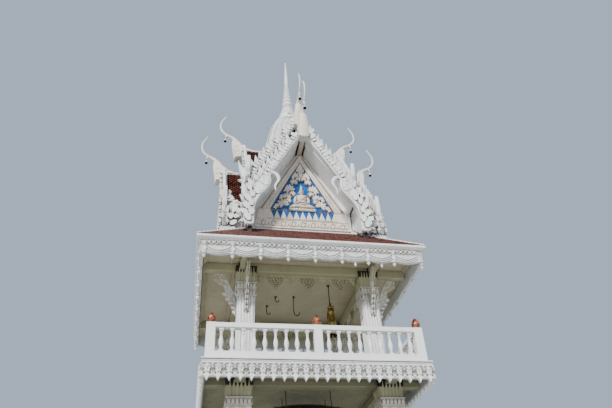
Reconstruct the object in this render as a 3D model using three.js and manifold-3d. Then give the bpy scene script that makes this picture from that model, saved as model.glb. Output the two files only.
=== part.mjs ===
import * as THREE from 'three';
import { mergeVertices } from 'three/addons/utils/BufferGeometryUtils.js';
import Module from 'manifold-3d';

// Temple bell tower: a square masonry tower of three open storeys under a skirt roof, with a
// cross-shaped gabled roof in two tiers and a ringed spire. Millimetres, Z up. The origin is on
// the tower's axis at ground level, and the front faces -Y.

const wasm = await Module();
wasm.setup();

// Clearance between pieces that bear on each other.
const GAP = 0.3;
const WELD = 1e-3;
const QUARTER = Math.PI / 2;

// Floor levels.
const PLINTH_TOP = 300;
const DRUM_FLOOR = 3250;
const BELL_FLOOR = 6500;
const CEILING = 9500;

// Plinth: two steps round the foot of the tower.
const PLINTH_HALF = 2850;
const PLINTH_TREAD = 170;

// Floors: a slab with a lip, a fascia, and beams over the columns.
const SLAB = 220;
const LIP = { half: 2750, thick: 35 };
const BAND = { half: 2738, top: 55, bottom: 120 };
const LACE = { half: 2722, thick: 85, bottom: 480 };
const BEAM = { width: 240, depth: 150, reach: 2662 };
// How far one part of a solid runs into the next.
const LAP = 20;

// Railings: a curb, a top rail, posts at the corners and the middle, and turned balusters.
const RAIL = { face: 2670, depth: 180, curb: 180, under: 765, top: 890 };
const POST = 216;
const MID_POST = 200;
const BALUSTER = { first: 262, pitch: 256.5, perBay: 9 };
const BALUSTER_PROFILE = [[44, 170], [66, 350], [36, 775]];
const BUD_PROFILE = [[0, -5], [55, -5], [95, 80], [60, 165], [0, 235]];
const BUD_SIDES = 6;

// Columns: distance of the centres from the axis, half width, floor, underside of the beams, and
// height of the lotus capital.
const COLUMNS = {
  ground_column: {
    centre: 1860, half: 285, foot: PLINTH_TOP, head: DRUM_FLOOR - SLAB - BEAM.depth, capital: 260,
  },
  drum_column: {
    centre: 1830, half: 270, foot: DRUM_FLOOR, head: BELL_FLOOR - SLAB - BEAM.depth, capital: 260,
  },
  bell_column: { centre: 1690, half: 235, foot: BELL_FLOOR, head: 9250, capital: 360 },
};
const NOTCH = 45;
const COLUMN_BASE = { out: 60, shoulder: 170, height: 260 };
const NECK_RING = { out: 35, bottom: 180, middle: 110, top: 40 };
const LOTUS = { in: 10, out: 70, lip: 60 };

// Brackets of the bell storey: distance from the tower's axis, and height.
const BRACKET_THICK = 60;
const BRACKET = [
  [1900, 8020], [1990, 8060], [2070, 8340], [2230, 8620], [2300, 8880], [2460, 8970],
  [2575, 9150], [2575, 9250 - GAP], [2370, 9250 - GAP], [2330, 9140], [2160, 8990],
  [2050, 8780], [1900, 8520],
];

// Ceiling of the bell storey, its beams and the lace boards below them.
const CEILING_SLAB = { half: 2850, thick: 100 };
const ROOF_BEAM = { inner: 1680, outer: 1920, depth: 250, reach: 2800 };
const VALANCE = { face: 1740, thick: 30, half: 1380, base: 9190, pitch: 880 };
// One pitch of the valance: a latticed pendant, then an arch, a tooth and the next arch.
const VALANCE_EDGE = [[-300, 9190], [-190, 9060], [0, 8780], [190, 9060], [300, 9190], [440, 9030]];

// Eaves fascia: panels of one pitch, a bud drop between each two and a swag in each.
const EAVES = {
  face: 2940, bottom: 9190, swag: 9105, swagHalf: 107, drop: 8975, dropHalf: 60, pitch: 710, panels: 8,
};

// Skirt roof: a low hipped roof over the bell storey, its slope stepped like its courses of tiles.
const SKIRT = {
  half: 3045, edge: 85, eave: 9645, top: 10885, neck: 1600, shell: 145, rib: 2790, courses: 19, step: 27,
};

// Cross-shaped roof: half of the roof line as distance from the ridge and drop below it.
const ROOF_LINE = [[0, 0], [420, -760], [1000, -1700], [1600, -2640]];
const ROOF_HALF = ROOF_LINE.at(-1)[0];
const ROOF_SHELL = 100;
const EAVE_LIP = 60;
// Past the end of whatever it cuts.
const BEYOND = 400;
const LOWER = { ridge: 14300, end: 2260, board: 190, peak: 14500 };
const UPPER = { ridge: 15430, end: 1620, board: 120, peak: 15620, eave: 12350 };
const CORE = { half: 1500, face: 1600, wall: 150, shoulder: 10950 };

// Bargeboards: half outlines, inner edge from the foot up and outer edge from the top down.
const LOWER_INNER = [
  [1640, 10000], [1590, 10850], [1540, 11390], [1420, 11730], [1180, 12060], [1130, 12300],
  [980, 11980], [870, 11940], [800, 12080], [830, 12290], [960, 12420], [1030, 12540],
  [744, 12960], [413, 13490], [0, 14200],
];
const LOWER_OUTER = [
  { from: [60, 14400], to: [1180, 12560], fins: 8 },
  { from: [1250, 12330], to: [1680, 11640], fins: 3 },
  { from: [1745, 11450], to: [1760, 10000], fins: 0 },
];
const UPPER_INNER = [
  [1605, 10400], [1605, 12350], [1350, 13020], [1000, 13600], [420, 14560], [0, 15310],
];
const UPPER_OUTER = [
  { from: [60, 15520], to: [1560, 13060], fins: 10 },
  { from: [1640, 12900], to: [1740, 12700], fins: 0 },
  { from: [1740, 12600], to: [1740, 10400], fins: 0 },
];
// Leaf fins: rise, and where the tip and the heel stand in each fin's share of the edge.
const FIN = { rise: 72, tip: 0.3, heel: 0.75 };
const LOWER_FLAME = [
  [1650, 11620], [1700, 11150], [1840, 11300], [1885, 11650], [1870, 12150], [1800, 11800], [1740, 11640],
];
const UPPER_FLAME = [
  [1600, 13000], [1680, 12560], [1860, 12750], [1950, 13050], [1990, 13400], [1900, 13200], [1780, 13030],
];

// Horn finials: centre line and half width, from the end of the lower ridge; the upper tier's
// horns have the same shape, set back and up by the tiers' step.
const HORN = [
  [50, 60, 90], [200, 300, 90], [340, 520, 62], [480, 640, 46], [640, 725, 40], [800, 885, 37],
  [895, 1130, 35], [880, 1370, 32], [780, 1570, 27], [700, 1740, 10],
];
const CHEST = [
  [-38, -40], [90, 60], [240, 260], [350, 520], [420, 500], [470, 330], [450, 160], [370, 0],
  [290, -130], [-38, -150],
];
const HORN_THICK = 90;
// The chest is broadest at its foot.
const CHEST_BREADTH = { foot: 250, head: 70, low: -150, high: 520 };
const HORN_ROOT = 2300;
const TIER_STEP = { back: -620, up: UPPER.ridge - LOWER.ridge };
const CHIME = { reach: 700, cord: 760, top: 510, bottom: 400, radius: 55, wire: 9, sides: 6 };

// Pediment: a plate with a raised frame round a sunk triangle.
const PEDIMENT = { thick: 70, sunk: 35, base: 10890, border: 11570, apex: 14030, half: 1460, rim: 1340 };
const FIELD = { half: 990, bottom: 11570, top: 13600 };

// Spire: square tiers with notched corners, then turned work.
const TIERS = [
  [1000, 13700, 14660], [930, 14660, 15080], [850, 15080, 15440], [775, 15440, 15800],
  [690, 15800, 16160], [590, 16160, 16400], [480, 16400, 16640], [390, 16640, 16880],
];
const TIER_LEDGE = { out: 32, thick: 60 };
const TIER_NOTCH = 0.18;
const TIER_LAP = 5;
const SPIRE_TIP = 20900;
const SPIRE_FOOT = [[0, 16860], [395, 16860], [385, 17000], [345, 17270], [275, 17560], [205, 17850]];
const RINGS = { from: 17870, to: 19660, count: 7, foot: 220, head: 82, neck: 0.84, belly: 0.4 };
const SHAFT_SIDES = 10;
const NEEDLE = [[50, 20180], [30, 20640], [48, 20700], [10, 20790], [8, SPIRE_TIP], [0, SPIRE_TIP]];

// Bell, its ring and the hook that it swings on.
const BELL = {
  x: 800, y: -930, sides: 14, ring: 8760, ringRadius: 60, ringWire: 20, ringSides: 12, wireSides: 6,
};
const RING_SEAT = BELL.ring + (BELL.ringRadius - BELL.ringWire) * Math.cos(Math.PI / BELL.ringSides);
const BELL_PROFILE = [
  [0, 7860], [30, 7880], [30, 7910], [8, 7930], [8, 8640], [60, 8630], [88, 8590],
  [128, 8060], [132, 7900], [146, 7900], [141, 8060], [102, 8620], [60, 8690], [0, 8700],
];
const HOOK_WIRE = 14;
const HOOK_SIDES = 6;
const HOOK_TIP = { rise: 1.8, thin: 0.5 };
const HOOK_PLATE = { radius: 45, thick: 12 };
const HOOK_LAP = 2;
const HOOKS = {
  bell_hook: { x: BELL.x, y: BELL.y, low: RING_SEAT - GAP - HOOK_WIRE, bend: 60, turn: 0 },
  centre_hook: { x: -30, y: -100, low: 8880, bend: 75, turn: QUARTER },
  left_hook: { x: -600, y: -60, low: 9330, bend: 45, turn: QUARTER },
  back_hook: { x: -790, y: 540, low: 9210, bend: 45, turn: QUARTER },
};

// Drum, hung on two rope loops below the bell floor.
const DRUM = { x: -40, y: -865, z: 5530, half: 870, radius: 500, shoulder: 485, end: 430, sides: 18 };
const ROPE = { thick: 26, spread: 300, offset: 570 };

const FINISH = {
  white: { color: 0xe9eaea, roughness: 0.75, metalness: 0 },
  tile: { color: 0x6b2f22, roughness: 0.8, metalness: 0 },
  brass: { color: 0xa9822f, roughness: 0.35, metalness: 0.9 },
  iron: { color: 0x1d1b1a, roughness: 0.6, metalness: 0.6 },
  wood: { color: 0x21150f, roughness: 0.6, metalness: 0 },
  rope: { color: 0x2b2622, roughness: 0.9, metalness: 0 },
};

// Joins and cuts.
function toSolid(geometry) {
  const bare = geometry.clone();
  bare.deleteAttribute('normal');
  bare.deleteAttribute('uv');
  const welded = mergeVertices(bare, WELD);
  const triangles = [];
  for (let i = 0; i < welded.index.count; i += 3) {
    const [a, b, c] = [0, 1, 2].map((k) => welded.index.getX(i + k));
    if (a !== b && b !== c && c !== a) triangles.push(a, b, c);
  }
  const vertProperties = new Float32Array(welded.attributes.position.array);
  const mesh = new wasm.Mesh({ numProp: 3, vertProperties, triVerts: new Uint32Array(triangles) });
  return new wasm.Manifold(mesh);
}

function toGeometry(solid) {
  const { vertProperties, triVerts } = solid.getMesh();
  const geometry = new THREE.BufferGeometry();
  geometry.setAttribute('position', new THREE.BufferAttribute(vertProperties, 3));
  geometry.setIndex(new THREE.BufferAttribute(triVerts, 1));
  geometry.computeVertexNormals();
  return geometry;
}

const joined = (pieces) => toGeometry(pieces.map(toSolid).reduce((all, piece) => all.add(piece)));
const cut = (body, tools) => {
  return toGeometry(tools.map(toSolid).reduce((rest, tool) => rest.subtract(tool), toSolid(body)));
};

// Basic forms.
const shapeOf = (points) => new THREE.Shape(points.map(([u, v]) => new THREE.Vector2(u, v)));

function extruded(points, depth, axes) {
  const geometry = new THREE.ExtrudeGeometry(shapeOf(points), { depth, bevelEnabled: false });
  const basis = new THREE.Matrix4().makeBasis(...axes.map((axis) => new THREE.Vector3(...axis)));
  return geometry.applyMatrix4(basis);
}

// An outline in X and Z, from y0 back to y1.
const upright = (points, y0, y1) =>
  extruded(points, y1 - y0, [[1, 0, 0], [0, 0, 1], [0, -1, 0]]).translate(0, y1, 0);

// An outline in Y and Z, from x0 to x1.
const sideways = (points, x0, x1) =>
  extruded(points, x1 - x0, [[0, 1, 0], [0, 0, 1], [1, 0, 0]]).translate(x0, 0, 0);

// An outline in X and Y, from z0 up to z1.
const raised = (points, z0, z1) =>
  extruded(points, z1 - z0, [[1, 0, 0], [0, 1, 0], [0, 0, 1]]).translate(0, 0, z0);

const box = (x0, x1, y0, y1, z0, z1) =>
  new THREE.BoxGeometry(x1 - x0, y1 - y0, z1 - z0).translate((x0 + x1) / 2, (y0 + y1) / 2, (z0 + z1) / 2);

const block = (half, z0, z1) => box(-half, half, -half, half, z0, z1);

const turned = (profile, sides) =>
  new THREE.LatheGeometry(profile.map(([r, z]) => new THREE.Vector2(r, z)), sides).rotateX(QUARTER);

// A profile carried round a square: its distances are those of the flat sides.
const squared = (profile) => {
  const corners = profile.map(([r, z]) => new THREE.Vector2(r * Math.SQRT2, z));
  return new THREE.LatheGeometry(corners, 4, Math.PI / 4).rotateX(QUARTER);
};

const mirrored = (half) => [...half, ...half.filter(([u]) => u !== 0).map(([u, v]) => [-u, v]).reverse()];

const notched = (half, step) => {
  const quarter = [[half, half - step], [half - step, half - step], [half - step, half]];
  const turn = ([x, y]) => [-y, x];
  const points = [];
  for (let k = 0, corner = quarter; k < 4; k += 1, corner = corner.map(turn)) points.push(...corner);
  return points;
};

// Ground storey and floors.
function plinth() {
  const rise = PLINTH_TOP / 2;
  return joined([block(PLINTH_HALF, 0, rise), block(PLINTH_HALF - PLINTH_TREAD, 0, PLINTH_TOP)]);
}

function fascia(level) {
  const inner = LACE.half - LACE.thick;
  const bottom = level - LACE.bottom;
  const top = level - (BAND.top + BAND.bottom) / 2;
  return squared([[inner, bottom], [LACE.half, bottom], [LACE.half, top], [inner, top], [inner, bottom]]);
}

function floorBeams(level, centre) {
  const under = level - SLAB - BEAM.depth;
  const { reach } = BEAM;
  const side = BEAM.width / 2;
  return [-centre, centre].flatMap((at) => [
    box(-reach, reach, at - side, at + side, under, level - SLAB / 2),
    box(at - side, at + side, -reach, reach, under, level - SLAB / 2),
  ]);
}

function floorSlab(level, centre) {
  return joined([
    block(LIP.half, level - LIP.thick, level),
    block(LACE.half - LACE.thick + LAP, level - SLAB, level - LIP.thick / 2),
    block(BAND.half, level - BAND.bottom, level - BAND.top),
    fascia(level),
    ...floorBeams(level, centre),
  ]);
}

function railing() {
  const inner = RAIL.face - POST;
  const end = inner - GAP;
  const back = -RAIL.face + RAIL.depth;
  const bud = (x) => turned(BUD_PROFILE, BUD_SIDES).translate(x, -RAIL.face + POST / 2, RAIL.top);
  const balusters = [];
  for (let k = 0; k < BALUSTER.perBay; k += 1) {
    for (const side of [-1, 1]) {
      const x = side * (BALUSTER.first + k * BALUSTER.pitch);
      const profile = [[0, BALUSTER_PROFILE[0][1]], ...BALUSTER_PROFILE, [0, BALUSTER_PROFILE.at(-1)[1]]];
      balusters.push(squared(profile).translate(x, -RAIL.face + RAIL.depth / 2, 0));
    }
  }
  return joined([
    box(-RAIL.face, -inner, -RAIL.face, -inner, GAP, RAIL.top),
    box(-MID_POST / 2, MID_POST / 2, -RAIL.face, back, GAP, RAIL.top),
    box(-inner - POST / 2, end, -RAIL.face, back, GAP, RAIL.curb),
    box(-inner - POST / 2, end, -RAIL.face, back, RAIL.under, RAIL.top),
    ...balusters,
    bud(-RAIL.face + POST / 2),
    bud(0),
  ]);
}

// Columns.
function column({ half, foot, head, capital }) {
  const height = head - foot - GAP;
  const neck = height - capital;
  const foothold = half + COLUMN_BASE.out;
  const base = [
    [0, GAP], [foothold, GAP], [foothold, COLUMN_BASE.shoulder], [half, COLUMN_BASE.height],
    [0, COLUMN_BASE.height],
  ];
  const rings = [
    [0, neck - NECK_RING.bottom], [half, neck - NECK_RING.bottom],
    [half + NECK_RING.out, neck - NECK_RING.middle],
    [half, neck - NECK_RING.top], [0, neck - NECK_RING.top],
  ];
  const low = neck - NECK_RING.top - GAP;
  const spread = half + LOTUS.out;
  const lotus = [
    [0, low], [half - LOTUS.in, low], [spread, height - LOTUS.lip], [spread, height], [0, height],
  ];
  return joined([squared(base), raised(notched(half, NOTCH), GAP, height), squared(rings), squared(lotus)]);
}

function bracket(centre) {
  const outline = BRACKET.map(([reach, z]) => [-reach + centre, z - BELL_FLOOR]);
  return upright(outline, -BRACKET_THICK / 2, BRACKET_THICK / 2);
}

function bellColumn(spec) {
  const left = bracket(spec.centre);
  const front = bracket(spec.centre).rotateZ(QUARTER);
  return joined([column(spec), left, front]);
}

// Ceiling, valances and eaves.
function valance() {
  const points = [-1, 0, 1].flatMap((k) => VALANCE_EDGE.map(([x, z]) => [x + k * VALANCE.pitch, z]));
  const top = CEILING - ROOF_BEAM.depth + LAP;
  const outline = [
    [-VALANCE.half, VALANCE.base], [-VALANCE.pitch * 1.5, VALANCE_EDGE.at(-1)[1]], ...points,
    [VALANCE.half, VALANCE.base], [VALANCE.half, top], [-VALANCE.half, top],
  ];
  return upright(outline, -VALANCE.face, -VALANCE.face + VALANCE.thick);
}

function ceiling() {
  const { inner, outer, depth, reach } = ROOF_BEAM;
  const pieces = [block(CEILING_SLAB.half - GAP, CEILING, CEILING + CEILING_SLAB.thick)];
  for (let k = 0; k < 4; k += 1) {
    pieces.push(box(-reach, reach, -outer, -inner, CEILING - depth, CEILING + LAP).rotateZ(k * QUARTER));
    pieces.push(valance().rotateZ(k * QUARTER));
  }
  return joined(pieces);
}

function eavesBoard() {
  const points = [[-EAVES.face, EAVES.bottom]];
  const first = (-EAVES.panels / 2) * EAVES.pitch;
  for (let k = 0; k <= EAVES.panels; k += 1) {
    const x = first + k * EAVES.pitch;
    const middle = x + EAVES.pitch / 2;
    points.push([x - EAVES.dropHalf, EAVES.bottom], [x, EAVES.drop], [x + EAVES.dropHalf, EAVES.bottom]);
    if (k < EAVES.panels) {
      points.push([middle - EAVES.swagHalf, EAVES.swag], [middle + EAVES.swagHalf, EAVES.swag]);
    }
  }
  const top = CEILING + CEILING_SLAB.thick;
  points.push([EAVES.face, EAVES.bottom], [EAVES.face, top], [-EAVES.face, top]);
  return upright(points, -EAVES.face, -CEILING_SLAB.half);
}

const eaves = () => joined([0, 1, 2, 3].map((k) => eavesBoard().rotateZ(k * QUARTER)));

const skirtRise = (SKIRT.top - SKIRT.eave) / (SKIRT.half - SKIRT.neck);

function skirtRoof() {
  const seat = CEILING + CEILING_SLAB.thick + GAP;
  const nose = EAVES.face + GAP;
  const { rib, shell } = SKIRT;
  const steps = [];
  for (let k = 1; k <= SKIRT.courses; k += 1) {
    const share = k / SKIRT.courses;
    const r = THREE.MathUtils.lerp(SKIRT.half, SKIRT.neck + GAP, share);
    const z = THREE.MathUtils.lerp(SKIRT.eave, SKIRT.top, share);
    steps.push([r, z - SKIRT.step], [r, z]);
  }
  return joined([squared([
    [nose, SKIRT.eave - SKIRT.edge], [SKIRT.half, SKIRT.eave - SKIRT.edge], [SKIRT.half, SKIRT.eave],
    ...steps.slice(0, -1), [SKIRT.neck + GAP, SKIRT.top - shell],
    [rib, SKIRT.eave + (SKIRT.half - rib) * skirtRise - shell], [rib, seat], [nose, seat],
    [nose, SKIRT.eave - SKIRT.edge],
  ])]);
}

// What stands above the skirt roof's slopes.
function aboveSkirt() {
  const low = EAVES.drop;
  const spread = (SKIRT.top + GAP - low) / skirtRise;
  return squared([[0, low], [SKIRT.neck + spread, low], [SKIRT.neck, SKIRT.top + GAP], [0, SKIRT.top + GAP]]);
}

// Cross-shaped roof. The section under a ridge, cut off at a half width and a height.
function roofSection(ridge, half, foot) {
  const line = ROOF_LINE.filter(([u]) => u < half).map(([u, drop]) => [u, ridge + drop]);
  const [[u0, d0], [u1, d1]] = ROOF_LINE.slice(-2);
  const edge = ridge + d0 + ((half - u0) * (d1 - d0)) / (u1 - u0);
  return mirrored([[0, foot], [half, foot], [half, edge], ...line.reverse()]);
}

function cross(section, reach) {
  const arm = upright(section, -reach, reach);
  return joined([arm, arm.clone().rotateZ(QUARTER)]);
}

const lowerEave = LOWER.ridge + ROOF_LINE.at(-1)[1];

const lowerEnvelope = (lift) =>
  cross(roofSection(LOWER.ridge + lift, ROOF_HALF + lift, CORE.shoulder), LOWER.end + BEYOND);

function gableCore() {
  const base = CEILING + CEILING_SLAB.thick + GAP;
  const ridge = LOWER.ridge - ROOF_SHELL - GAP;
  const outside = joined([
    cross(roofSection(ridge, CORE.half, base), CORE.face),
    block(CORE.face, base, CORE.shoulder),
  ]);
  const inner = roofSection(ridge - CORE.wall * 2, CORE.half - CORE.wall, CEILING);
  const inside = cross(inner, CORE.face - CORE.wall);
  return cut(outside, [inside]);
}

function lowerRoof() {
  const shell = cross(roofSection(LOWER.ridge, ROOF_HALF, lowerEave - EAVE_LIP), LOWER.end - GAP);
  const under = roofSection(LOWER.ridge - ROOF_SHELL, CORE.half, lowerEave - BEYOND);
  const hollow = cross(under, LOWER.end + BEYOND);
  return cut(shell, [hollow]);
}

function upperRoof() {
  const body = cross(roofSection(UPPER.ridge, ROOF_HALF, UPPER.eave), UPPER.end - GAP);
  return cut(body, [lowerEnvelope(GAP)]);
}

// A stretch of the bargeboards' upper edge with its leaf fins.
function finned({ from, to, fins }) {
  const along = new THREE.Vector2(to[0] - from[0], to[1] - from[1]);
  const out = new THREE.Vector2(-along.y, along.x).normalize().multiplyScalar(FIN.rise);
  const points = [from];
  for (let k = 0; k < fins; k += 1) {
    const at = (t) => [from[0] + along.x * t, from[1] + along.y * t];
    const [x, z] = at((k + FIN.tip) / fins);
    points.push([x + out.x, z + out.y + FIN.rise], at((k + FIN.heel) / fins), at((k + 1) / fins));
  }
  if (fins === 0) points.push(to);
  return points;
}

function bargeboard(inner, outer, flame, { end, board, peak }) {
  const edge = outer.flatMap(finned);
  const pieces = [upright(mirrored([[0, peak], ...edge, ...inner]), -(end + board), -end)];
  for (const side of [1, -1]) {
    const outline = flame.map(([u, v]) => [side * u, v]);
    pieces.push(upright(outline, -(end + board), -end));
  }
  return joined(pieces);
}

// The chest's plate with its breadth changed evenly from the foot to the head.
function broadened(plate, level) {
  const points = plate.attributes.position;
  const { foot, head, low, high } = CHEST_BREADTH;
  for (let k = 0; k < points.count; k += 1) {
    const breadth = THREE.MathUtils.mapLinear(points.getZ(k) - level, low, high, foot, head);
    points.setX(k, points.getX(k) * breadth / HORN_THICK);
  }
  return plate;
}

function hornFinial(back, up) {
  const place = ([u, v]) => [-(HORN_ROOT + back + u), LOWER.ridge + up + v];
  const centre = HORN.map(place);
  const sides = [[], []];
  centre.forEach(([y, z], k) => {
    const [ya, za] = centre[Math.max(0, k - 1)];
    const [yb, zb] = centre[Math.min(centre.length - 1, k + 1)];
    const run = new THREE.Vector2(yb - ya, zb - za).normalize().multiplyScalar(HORN[k][2]);
    sides[0].push([y + run.y, z - run.x]);
    sides[1].push([y - run.y, z + run.x]);
  });
  const half = HORN_THICK / 2;
  const chime = [
    [0, CHIME.bottom], [CHIME.radius, CHIME.bottom], [CHIME.wire, CHIME.top], [CHIME.wire, CHIME.cord],
    [0, CHIME.cord],
  ];
  const [hangY, hangZ] = place([CHIME.reach, 0]);
  return [
    sideways([...sides[0], ...sides[1].reverse()], -half, half),
    broadened(sideways(CHEST.map(place), -half, half), LOWER.ridge + up),
    turned(chime, CHIME.sides).translate(0, hangY, hangZ),
  ];
}

function lowerGable() {
  const board = bargeboard(LOWER_INNER, LOWER_OUTER, LOWER_FLAME, LOWER);
  return cut(joined([board, ...hornFinial(0, 0)]), [aboveSkirt()]);
}

// The upper tier's bargeboards meet at the corners, so they are one piece.
function upperGables() {
  const board = bargeboard(UPPER_INNER, UPPER_OUTER, UPPER_FLAME, UPPER);
  const side = joined([board, ...hornFinial(TIER_STEP.back, TIER_STEP.up)]);
  return cut(joined([0, 1, 2, 3].map((k) => side.clone().rotateZ(k * QUARTER))), [aboveSkirt()]);
}

function pediment() {
  const { thick, sunk, base, border, apex, half, rim } = PEDIMENT;
  const outline = mirrored([[0, base], [half, base], [rim, border], [0, apex]]);
  const plate = upright(outline, -CORE.face - thick, -CORE.face - GAP);
  const field = mirrored([[0, FIELD.bottom], [FIELD.half, FIELD.bottom], [0, FIELD.top]]);
  return cut(plate, [upright(field, -CORE.face - thick - LAP, -CORE.face - thick + sunk)]);
}

// Spire.
function spire() {
  const tiers = TIERS.flatMap(([half, z0, z1]) => [
    raised(notched(half, half * TIER_NOTCH), z0 - TIER_LAP, z1),
    raised(notched(half + TIER_LEDGE.out, half * TIER_NOTCH), z1 - TIER_LEDGE.thick, z1),
  ]);
  const rings = [];
  const pitch = (RINGS.to - RINGS.from) / RINGS.count;
  for (let k = 0; k < RINGS.count; k += 1) {
    const radius = THREE.MathUtils.lerp(RINGS.foot, RINGS.head, k / (RINGS.count - 1));
    const z = RINGS.from + k * pitch;
    rings.push([radius, z + pitch * RINGS.belly], [radius * RINGS.neck, z + pitch]);
  }
  const shaft = turned([...SPIRE_FOOT, ...rings, ...NEEDLE], SHAFT_SIDES);
  const roofs = cross(roofSection(UPPER.ridge + GAP, ROOF_HALF, UPPER.eave), UPPER.end + BEYOND);
  return cut(joined([...tiers, shaft]), [roofs, lowerEnvelope(GAP)]);
}

// Bell, hooks and drum.
function bell() {
  const ring = new THREE.TorusGeometry(BELL.ringRadius, BELL.ringWire, BELL.wireSides, BELL.ringSides);
  ring.rotateZ(Math.PI / BELL.ringSides).rotateX(QUARTER);
  return joined([turned(BELL_PROFILE, BELL.sides).translate(0, 0, -BELL.ring), ring]);
}

// A half circle in the YZ plane, hanging below its ends.
class Bend extends THREE.Curve {
  constructor(radius) {
    super();
    this.radius = radius;
  }

  getPoint(t, target = new THREE.Vector3()) {
    const angle = Math.PI * t;
    return target.set(0, this.radius * Math.cos(angle), -this.radius * Math.sin(angle));
  }
}

// A hook with its lowest point at the origin: ceiling plate, shank, bend and tip.
function hook({ low, bend }) {
  const top = CEILING - GAP - low;
  const section = new THREE.Shape().absarc(0, 0, HOOK_WIRE, 0, 2 * Math.PI);
  const curl = new THREE.ExtrudeGeometry(section, {
    extrudePath: new Bend(bend), steps: HOOK_SIDES, curveSegments: HOOK_SIDES, bevelEnabled: false,
  });
  const root = bend - HOOK_LAP;
  const tip = bend * HOOK_TIP.rise;
  const under = top - HOOK_PLATE.thick;
  const shank = [[0, root], [HOOK_WIRE, root], [HOOK_WIRE, top], [0, top]];
  const point = [[0, root], [HOOK_WIRE, root], [HOOK_WIRE * HOOK_TIP.thin, tip], [0, tip]];
  const flange = [[0, under], [HOOK_PLATE.radius, under], [HOOK_PLATE.radius, top], [0, top]];
  return joined([
    curl.translate(0, 0, bend),
    turned(shank, HOOK_SIDES).translate(0, bend, 0),
    turned(point, HOOK_SIDES).translate(0, -bend, 0),
    turned(flange, HOOK_SIDES).translate(0, bend, 0),
  ]);
}

function drum() {
  const { half, radius, shoulder, end, sides } = DRUM;
  const profile = [
    [0, -half], [end, -half], [shoulder, -half / 2], [radius, 0], [shoulder, half / 2], [end, half],
    [0, half],
  ];
  return joined([turned(profile, sides).rotateY(QUARTER)]);
}

// A rope loop: down from the floor above, round under the drum facet by facet, and up again.
function ropeLoop() {
  const { half, shoulder, end, sides } = DRUM;
  const rise = BELL_FLOOR - SLAB - GAP - DRUM.z;
  const nearEdge = ROPE.offset - ROPE.thick / 2;
  const inner = THREE.MathUtils.lerp(shoulder, end, nearEdge / (half / 2) - 1) + 2 * GAP;
  const step = (2 * Math.PI) / sides;
  const arc = (radius) => Array.from({ length: sides / 2 + 3 }, (_, k) => {
    const angle = step * (1 - k);
    return [radius * Math.cos(angle), radius * Math.sin(angle)];
  });
  const top = [ROPE.spread + ROPE.thick, rise];
  const outline = [
    top, ...arc(inner + ROPE.thick), [-top[0], rise],
    [-ROPE.spread, rise], ...arc(inner).reverse(), [ROPE.spread, rise],
  ];
  return joined([sideways(outline, -ROPE.thick / 2, ROPE.thick / 2)]);
}

// Assembly.
const tower = new THREE.Group();

function place(name, geometry, finish, parent = tower) {
  const mesh = new THREE.Mesh(geometry, new THREE.MeshStandardMaterial(FINISH[finish]));
  mesh.name = name;
  parent.add(mesh);
  return mesh;
}

function turnedGroup(k) {
  const group = new THREE.Group();
  group.rotation.z = k * QUARTER;
  tower.add(group);
  return group;
}

const CORNERS = ['front_left', 'front_right', 'back_right', 'back_left'];
const SIDES = ['front', 'right', 'back', 'left'];

place('plinth', plinth(), 'white');
place('drum_floor', floorSlab(DRUM_FLOOR, COLUMNS.ground_column.centre), 'white');
place('bell_floor', floorSlab(BELL_FLOOR, COLUMNS.drum_column.centre), 'white');

for (const [name, spec] of Object.entries(COLUMNS)) {
  const shape = name === 'bell_column' ? bellColumn(spec) : column(spec);
  CORNERS.forEach((corner, k) => {
    const column = place(`${name}_${corner}`, shape, 'white', turnedGroup(k));
    column.position.set(-spec.centre, -spec.centre, spec.foot);
  });
}

for (const [name, level] of [['drum_railing', DRUM_FLOOR], ['bell_railing', BELL_FLOOR]]) {
  const shape = railing();
  SIDES.forEach((side, k) => {
    place(`${name}_${side}`, shape, 'white', turnedGroup(k)).position.z = level;
  });
}

place('bell_ceiling', ceiling(), 'white');
place('eaves_fascia', eaves(), 'white');
place('skirt_roof', skirtRoof(), 'tile');
place('gable_core', gableCore(), 'white');
place('lower_gable_roof', lowerRoof(), 'tile');
place('upper_gable_roof', upperRoof(), 'tile');
place('upper_gables', upperGables(), 'white');

for (const [name, shape] of [['pediment', pediment()], ['lower_gable', lowerGable()]]) {
  SIDES.forEach((side, k) => place(`${name}_${side}`, shape, 'white', turnedGroup(k)));
}

place('spire', spire(), 'white');
place('bell', bell(), 'brass').position.set(BELL.x, BELL.y, BELL.ring);

for (const [name, spec] of Object.entries(HOOKS)) {
  const mesh = place(name, hook(spec), 'iron');
  mesh.position.set(spec.x, spec.y, spec.low);
  mesh.rotation.z = spec.turn;
}

place('drum', drum(), 'wood').position.set(DRUM.x, DRUM.y, DRUM.z);
[-ROPE.offset, ROPE.offset].forEach((offset, k) => {
  const rope = place(['drum_rope_left', 'drum_rope_right'][k], ropeLoop(), 'rope');
  rope.position.set(DRUM.x + offset, DRUM.y, DRUM.z);
});

export default tower;
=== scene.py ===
"""Temple bell tower: the carved, tiled and painted work round its plain solids, in metres, Z up."""

from math import ceil, cos, dist, hypot, pi, radians, sin, sqrt

import bmesh
import bpy
from bpy.props import FloatProperty, FloatVectorProperty, IntProperty, PointerProperty
from mathutils import Matrix, Vector


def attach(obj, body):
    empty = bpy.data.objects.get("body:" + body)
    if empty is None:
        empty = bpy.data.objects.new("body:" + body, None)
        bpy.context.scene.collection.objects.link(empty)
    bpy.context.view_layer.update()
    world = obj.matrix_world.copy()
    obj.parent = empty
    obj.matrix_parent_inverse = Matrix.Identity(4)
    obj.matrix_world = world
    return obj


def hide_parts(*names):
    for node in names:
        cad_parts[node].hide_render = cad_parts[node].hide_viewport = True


bl_info = {
    "name": "Temple Bell Tower",
    "version": (1, 0, 0),
    "blender": (4, 5, 0),
    "location": "View3D > Sidebar > Bell Tower",
    "description": "Models and paints the ornament of a temple bell tower",
    "category": "Add Mesh",
}

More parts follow.
